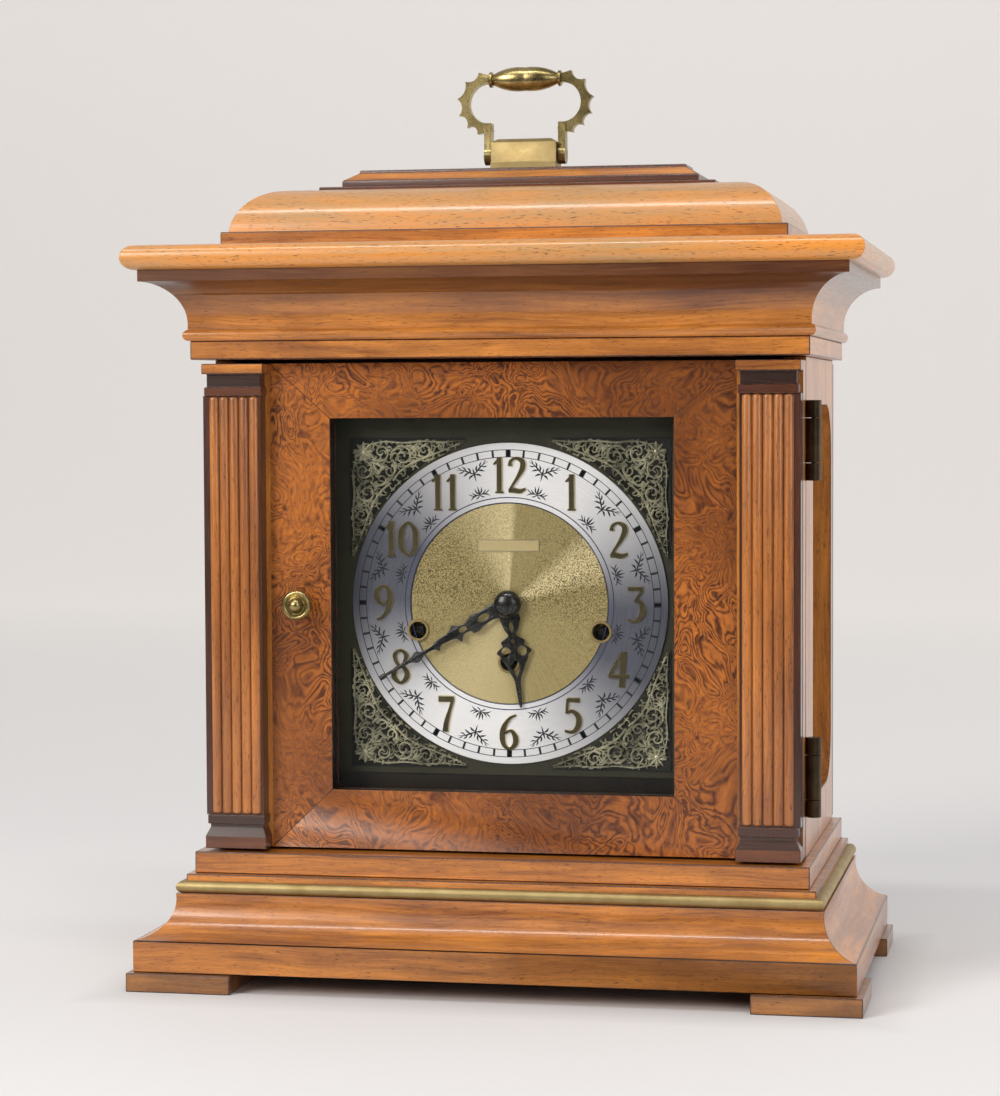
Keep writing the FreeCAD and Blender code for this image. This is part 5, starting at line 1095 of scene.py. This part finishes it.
class CLOCK_OT_dial(ClockOperator, bpy.types.Operator):
    """Dresses the dial plate, chapter ring, gold centre and eyelets, and makes what is etched on them"""
    bl_idname = "clock.dial"
    bl_label = "Dial"

    def build(self):
        plain("dial_plate", "case", "dial_plate", "olive_plate", 0.2)
        plain("chapter_ring", "case", "dial_silver", "silver_ring")
        plain("dial_centre", "case", "dial_gold", "gold_centre")
        self.track()
        self.plaque()
        plain("winding_eyelets", "case", "brass", "satin_brass")

    def track(self):
        """The minute track with its sprays of leaves, and the lines at the ring's inner edge."""
        track = bmesh.new()
        half_line = 0.175
        for radius in (71.4, 74.9):
            flat_ring(track, radius - half_line, radius + half_line, *ETCHED)
        for count, wide in ((60, 1.1), (12, 2.5)):
            block = bmesh.new()
            brick(block, (-wide / 2, RING_FRONT - 0.06, 71.5), (wide / 2, ETCHED[0], 74.8))
            bmesh.ops.recalc_face_normals(block, faces=block.faces)
            joined(track, self.round_dial(block, count, 0.0))
        for radius, size, half in ((66.6, 1.1, OUTER_SPRAY), (55.8, 1.0, INNER_SPRAY)):
            joined(track, self.round_dial(self.sprig(radius, size, half), 12, math.pi / 12))
        bmesh.ops.recalc_face_normals(track, faces=track.faces)
        fitted(made("minute_track", track, ["etched_ink"]), "case", "dial_silver")
        bm = bmesh.new()
        flat_ring(bm, 51.5, 52.0, *ETCHED)
        flat_ring(bm, 49.0, 49.4, *ETCHED)
        fitted(made("ring_lines", cleaned(bm), ["blue_line"]), "case", "dial_silver")

    def plaque(self):
        """The bare name plate: a pale rim round a gold face."""
        bm = bmesh.new()
        brick(bm, (-15.25, -38.1, 210.1), (15.25, -37.8, 216.0))
        brick(bm, (-14.8, -38.15, 210.55), (14.8, -38.0, 215.55))
        plaque = made("bare_plaque", cleaned(bm), ["pale_brass", "plaque_gold"])
        for face in plaque.data.polygons:
            middle = face.center / MM
            face.material_index = 1 if abs(middle.x) < 14.9 and middle.y < -38.12 else 0
        fitted(plaque, "case", "dial_gold")

    def round_dial(self, form, count, first):
        """Copies of an etched form round the dial, from a first turn in radians."""
        return repeated("Ring Repeat", form, {"Count": count, "First Turn": first, "Level": DIAL_Z * MM},
                        "etched_ink")

    def sprig(self, radius, size, half):
        """One etched spray of leaves, its right half mirrored, above the dial's centre."""
        bm = bmesh.new()
        stems = half + [[(-x, z, wide) for x, z, wide in stem] for stem in half if stem[-1][0]]
        for stem in stems:
            line = [(x * size, radius + z * size, max(wide * size, 0.2)) for x, z, wide in eased(stem, 4)]
            stroke(bm, line, *ETCHED, flat=0.8)
        bmesh.ops.recalc_face_normals(bm, faces=bm.faces)
        return bm


class CLOCK_OT_numerals(ClockOperator, bpy.types.Operator):
    """Makes the twelve raised numerals from shaped strokes"""
    bl_idname = "clock.numerals"
    bl_label = "Hour Numerals"

    def build(self):
        bm = bmesh.new()
        radius, fuller, front = 62.6, 1.2, -39.2
        for hour in range(1, 13):
            angle = 2 * math.pi * hour / 12
            across, up = radius * math.sin(angle), DIAL_Z + radius * math.cos(angle)
            figures = str(hour)
            for place, figure in enumerate(figures):
                shift = 0.0 if len(figures) == 1 else (place - 0.5) * (7.4 if hour == 11 else 8.6)
                for order, (kind, points) in enumerate(DIGITS[figure]):
                    line = points if kind == "bar" else eased(points, 7, kind == "loop")
                    line = [(across + shift + x, up + z, wide * fuller) for x, z, wide in line]
                    stroke(bm, line, RING_FRONT + 0.1, front - 0.03 * order, kind == "loop", 0.74, (0, 1))
        item = made("numerals_raised", cleaned(bm), ["numeral_bronze", "pale_brass"], sharp=25)
        fitted(item, "case", "bronze", "hour_numerals")


def scroll(middle, big, turns, start, way, wide):
    """A line of (x, z, width) that winds in to its eye."""
    steps = int(10 * turns)
    line = []
    for step in range(steps + 1):
        share = step / steps
        angle = start + way * 2 * math.pi * turns * share
        radius = big * (1 - 0.86 * share)
        line.append((middle[0] + radius * math.cos(angle), middle[1] + radius * math.sin(angle),
                     wide * (1 - 0.35 * share)))
    return line


def frond(root, angle, length, curl, wide):
    """A line of (x, z, width) for a leaf that tapers and bends to one side."""
    line = []
    for step in range(6):
        share = step / 5
        bend = angle + curl * share
        reach = length * share
        line.append((root[0] + reach * math.cos(bend), root[1] + reach * math.sin(bend),
                     wide * (0.45 + 1.6 * share) * (1 - share) + 0.18))
    return line


class CLOCK_OT_spandrels(ClockOperator, bpy.types.Operator):
    """Makes the four corner spandrels: scrolls and fronds raised on a black ground"""
    bl_idname = "clock.spandrels"
    bl_label = "Spandrels"

    def build(self):
        bm = copied("spandrels")
        # The node's front is drawn back to be the ground
        for vert in bm.verts:
            if vert.co.y < -37.5 * MM:
                vert.co.y = -37.6 * MM
        for face in bm.faces:
            face.material_index = 1
        lines = self.tracery()
        for across in (-1, 1):
            for up in (-1, 1):
                for flip in (False, True):
                    self.half_corner(bm, lines, across, up, flip)
                self.rosette(bm, across, up)
        item = made("spandrels_raised", bm, ["relief_gold", "black_ground"], sharp=50)
        fitted(item, "case", "brass", "spandrels")

    def tracery(self):
        """Lines of half a corner, along its edge and in from it: scrolls, stems and fronds."""
        lines = [
            scroll((15.6, 6.6), 5.0, 1.4, math.pi * 0.9, -1, 1.3),
            scroll((26.4, 8.4), 5.4, 1.5, math.pi * 1.15, 1, 1.4),
            scroll((37.2, 5.6), 3.9, 1.4, math.pi * 0.8, -1, 1.1),
            scroll((45.4, 4.0), 2.4, 1.3, math.pi * 1.2, 1, 0.9),
            scroll((20.0, 15.6), 3.4, 1.3, math.pi * 1.6, 1, 1.0),
            eased([(9.0, 3.2, 0.8), (17.0, 1.4, 1.0), (27.0, 2.0, 1.1), (36.0, 1.3, 1.0),
                   (47.0, 1.6, 0.8), (57.4, 0.9, 0.4)], 5),
            eased([(21.6, 20.6, 0.9), (26.0, 15.2, 1.1), (33.0, 11.2, 1.1), (41.0, 8.0, 1.0),
                   (49.0, 4.8, 0.8), (57.6, 1.4, 0.4)], 5),
        ]
        for root, way in (((15.6, 6.6), 0.2), ((26.4, 8.4), -0.4), ((37.2, 5.6), 0.3)):
            for number in range(7):
                angle = way + number * 2 * math.pi / 7
                start = (root[0] + 4.6 * math.cos(angle), root[1] + 4.4 * math.sin(angle))
                lines.append(frond(start, angle + 0.5, 2.6, 0.9, 1.15))
        for number in range(5):
            lines.append(frond((31.5 + 0.2 * number, 4.2), -0.9 + 0.62 * number, 4.6, 0.5, 1.2))
        for number in range(4):
            lines.append(frond((49.5 + 1.8 * number, 2.4), 0.9 - 1.9 * (number % 2), 2.0, -0.6, 0.9))
        for number in range(4):
            lines.append(frond((22.0, 12.0 + 2.0 * number), 0.4 + 0.5 * number, 3.2, 0.7, 1.1))
        for number in range(4):
            lines.append(frond((11.0 + 1.2 * number, 11.6), 0.5 + 0.35 * number, 4.4, -0.6, 1.1))
        chance = random.Random(11)
        for row in range(1, 24):
            for column in range(1, 13):
                along = 2.6 * row + chance.uniform(-0.6, 0.6)
                inward = 2.6 * column + chance.uniform(-0.6, 0.6)
                angle = chance.uniform(0, 2 * math.pi)
                if along >= inward and along < 57 - 0.6 * inward:
                    lines.append(frond((along, inward), angle, 3.0, chance.choice((-2.2, 2.2)), 0.95))
        return lines

    def half_corner(self, bm, lines, across, up, flip):
        """Raises what lies clear of the chapter ring along one edge of a corner, or along the other."""
        def place(along, inward):
            if flip:
                along, inward = inward, along
            return across * (SPANDREL_ACROSS - along), DIAL_Z + up * (SPANDREL_UP - inward)

        for order, line in enumerate(lines):
            kept = []
            for along, inward, wide in line:
                far = math.hypot(SPANDREL_ACROSS - along, SPANDREL_UP - inward)
                if far > RING_CLEAR and along > 0.5 and inward > 0.5:
                    kept.append((along, inward, wide * 1.15))
            if len(kept) > 2:
                lift = 0.024 * (order % 9)
                stroke(bm, kept, SPANDREL_BACK, SPANDREL_FACE - lift, flat=0.3, place=place)

    def rosette(self, bm, across, up):
        """Petals and a boss in the corner."""
        inset, petals = 6.6, 9
        middle = (SPANDREL_ACROSS - inset, SPANDREL_UP - inset)
        for number in range(petals):
            angle = 2 * math.pi * number / petals + 0.2
            line = []
            for step in range(5):
                share = step / 4
                radius = 1.0 + 4.0 * share
                line.append((across * (middle[0] + radius * math.cos(angle)),
                             DIAL_Z + up * (middle[1] + radius * math.sin(angle)),
                             0.3 + 2.0 * math.sin(math.pi * min(share * 0.85 + 0.1, 1))))
            stroke(bm, line, SPANDREL_BACK, SPANDREL_FACE, flat=0.3)
        lathe(bm, [(1.5, SPANDREL_BACK), (1.4, -38.6), (1.0, -38.95), (0.3, -39.05)],
              across * middle[0], DIAL_Z + up * middle[1], steps=14)


# Edges of the hands: out from the axis and across, the minute hand's all round, the hour hand's on one side
MINUTE_EDGE = [
    (2.0, 3.6), (6.0, 4.2), (9.0, 4.0), (11.6, 3.7), (15.1, 3.7), (18.3, 4.5), (21.4, 3.1), (23.8, 2.3),
    (27.4, 3.2), (29.5, 4.6), (32.3, 2.9), (36.0, 2.2), (39.2, 2.2), (43.5, 1.0), (48.9, 0.9), (52.4, 2.6),
    (56.7, 0.9), (69.2, 0.75), (74.5, 0.1), (70.0, -0.8), (57.8, -0.95), (55.4, -1.6), (52.9, -2.8),
    (47.9, -1.1), (43.1, -1.2), (41.0, -3.0), (38.9, -1.0), (35.4, -1.2), (32.7, -1.4), (30.4, -2.3),
    (29.0, -4.7), (27.2, -2.6), (25.4, -1.9), (22.3, -2.4), (21.6, -4.0), (18.5, -4.3), (16.1, -3.4),
    (9.4, -3.0), (6.0, -4.4), (2.0, -3.8),
]
HOUR_SIDE = [
    (3.0, 4.2), (7.4, 5.0), (9.4, 4.4), (12.6, 3.4), (15.2, 1.9), (16.4, 3.2), (18.2, 5.9), (20.4, 5.4),
    (21.4, 6.8), (23.4, 8.7), (25.4, 6.9), (26.9, 6.6), (30.1, 4.7), (34.1, 3.0), (37.8, 1.5), (43.0, 1.15),
    (49.6, 0.7),
]


class CLOCK_OT_hands(ClockOperator, bpy.types.Operator):
    """Makes the pierced hour and minute hands and the nut"""
    bl_idname = "clock.hands"
    bl_label = "Hands"

    def build(self):
        self.hand("minute_hand", "minute_work", math.radians(240), -40.85, -41.55, MINUTE_EDGE, 2.6,
                  [oval(13.8, 0.2, 3.2, 1.7), oval(25.6, 0.3, 2.1, 1.3)])
        outline = HOUR_SIDE + [(51.0, 0.0)] + [(u, -v) for u, v in reversed(HOUR_SIDE)]
        holes = [oval(11.4, 0.0, 2.6, 1.1), oval(23.3, 4.0, 2.4, 2.3), oval(23.3, -4.0, 2.4, 2.3),
                 [(27.6, 0.0), (30.0, 2.4), (33.4, 1.3), (36.6, 0.0), (33.4, -1.3), (30.0, -2.4)],
                 [(17.0, 0.0), (18.6, 1.1), (20.2, 0.0), (18.6, -1.1)]]
        self.hand("hour_hand", "hour_work", math.radians(173), -39.55, -40.25, outline, 3.2, holes)
        bm = bmesh.new()
        outline = [(6.8, -41.7), (6.8, -42.5), (6.5, -43.4), (5.7, -44.6), (4.2, -45.7), (2.2, -46.35),
                   (0.5, -46.55)]
        lathe(bm, eased(outline, 3), 0, DIAL_Z)
        fitted(made("hand_nut_domed", cleaned(bm), ["black_steel"]), "minute_work", "black_steel", "hand_nut")

    def hand(self, node, body, angle, back, front, outline, hole, holes):
        """A pierced hand with a round hub, turned to its angle clockwise from 12."""
        def place(u, v):
            return (u * math.sin(angle) + v * math.cos(angle),
                    DIAL_Z + u * math.cos(angle) - v * math.sin(angle))

        hub_radius = 5.8
        hub = [(hub_radius * math.cos(math.radians(turn)), hub_radius * math.sin(math.radians(turn)))
               for turn in range(140, 221, 10)]
        edge = eased(outline, 3) + hub[::-1]
        bm = plate([edge, *holes, oval(0, 0, hole, hole, 24)], back, front, 0.16, place)
        fitted(made(node + "_pierced", bm, ["black_steel"], sharp=40), body, "black_steel", node)


class CLOCK_OT_movement(ClockOperator, bpy.types.Operator):
    """Finishes the movement and the chime inside the case"""
    bl_idname = "clock.movement"
    bl_label = "Movement and Chime"

    def build(self):
        finishes = {
            "machine_brass": "movement_plates time_barrel strike_barrel chime_barrel minute_wheel "
                             "hour_wheel balance_wheel chime_drum",
            "bright_steel": "movement_pillars centre_arbor chime_rods",
            "black_steel": "time_winding_arbor strike_winding_arbor chime_winding_arbor",
            "iron_casting": "rod_block",
            "hammer_steel": "chime_hammer_1 chime_hammer_2 chime_hammer_3 chime_hammer_4",
        }
        for label, nodes in finishes.items():
            for node in nodes.split():
                finish_node(node, label)


OPERATORS = (
    CLOCK_OT_stage, CLOCK_OT_base, CLOCK_OT_cornice, CLOCK_OT_caddy, CLOCK_OT_sides, CLOCK_OT_door,
    CLOCK_OT_pilasters, CLOCK_OT_hardware, CLOCK_OT_handle, CLOCK_OT_dial, CLOCK_OT_numerals,
    CLOCK_OT_spandrels, CLOCK_OT_hands, CLOCK_OT_movement,
)


def colour_look(name, description, default):
    return bpy.props.FloatVectorProperty(name=name, description=description, subtype="COLOR", min=0, max=1,
                                         size=len(default), default=default)


def factor_look(name, description, default, most):
    return bpy.props.FloatProperty(name=name, description=description, subtype="FACTOR", min=0, max=most,
                                   default=default)


class ClockLooks(bpy.types.PropertyGroup):
    """Colours and sizes that a user would change"""
    wood_light: colour_look("Wood", "Main tone of the case's wood", tone(224, 142, 55))
    wood_dark: colour_look("Dark Wood", "Dark streaks of the case's wood", tone(114, 60, 22))
    wood_honey: colour_look("Honey Wood", "Bright wood of the cushion and top board", tone(172, 136, 90))
    paper: colour_look("Paper", "Colour of the studio's floor and backdrop", tone(208, 207, 208)[:3])
    paper_glow: factor_look("Paper Glow", "Light that the backdrop gives of itself", 1.0, 5)
    # The glazed edges carry the dark edge material: real glaze on outer edges, painted shade in inner
    # creases.
    edge_ease: bpy.props.FloatProperty(
        name="Edge", description="Width of the glazed edges of boards, in millimetres", min=0.05, max=2.0,
        default=0.6)
    light_strength: factor_look("Lights", "Strength of the studio's lights", 0.89, 10)
    air_strength: factor_look("Air", "Strength of the light from all round", 0.4, 10)


class CLOCK_PT_sidebar(bpy.types.Panel):
    """The clock's pieces and looks"""
    bl_idname = "CLOCK_PT_sidebar"
    bl_label = "Mantel Clock"
    bl_space_type = "VIEW_3D"
    bl_region_type = "UI"
    bl_category = "Clock"

    def draw(self, context):
        for name in ClockLooks.__annotations__:
            self.layout.prop(context.scene.clock_looks, name)
        for operator in OPERATORS:
            self.layout.operator(operator.bl_idname)


def register():
    for item in (ClockLooks, *OPERATORS, CLOCK_PT_sidebar):
        bpy.utils.register_class(item)
    bpy.types.Scene.clock_looks = bpy.props.PointerProperty(type=ClockLooks)


def unregister():
    del bpy.types.Scene.clock_looks
    for item in reversed((ClockLooks, *OPERATORS, CLOCK_PT_sidebar)):
        bpy.utils.unregister_class(item)


def main():
    register()
    make_materials()
    ring_repeat()
    row_repeat()
    for operator in OPERATORS:
        group, name = operator.bl_idname.split(".")
        getattr(getattr(bpy.ops, group), name)()


if __name__ == "__main__":
    main()
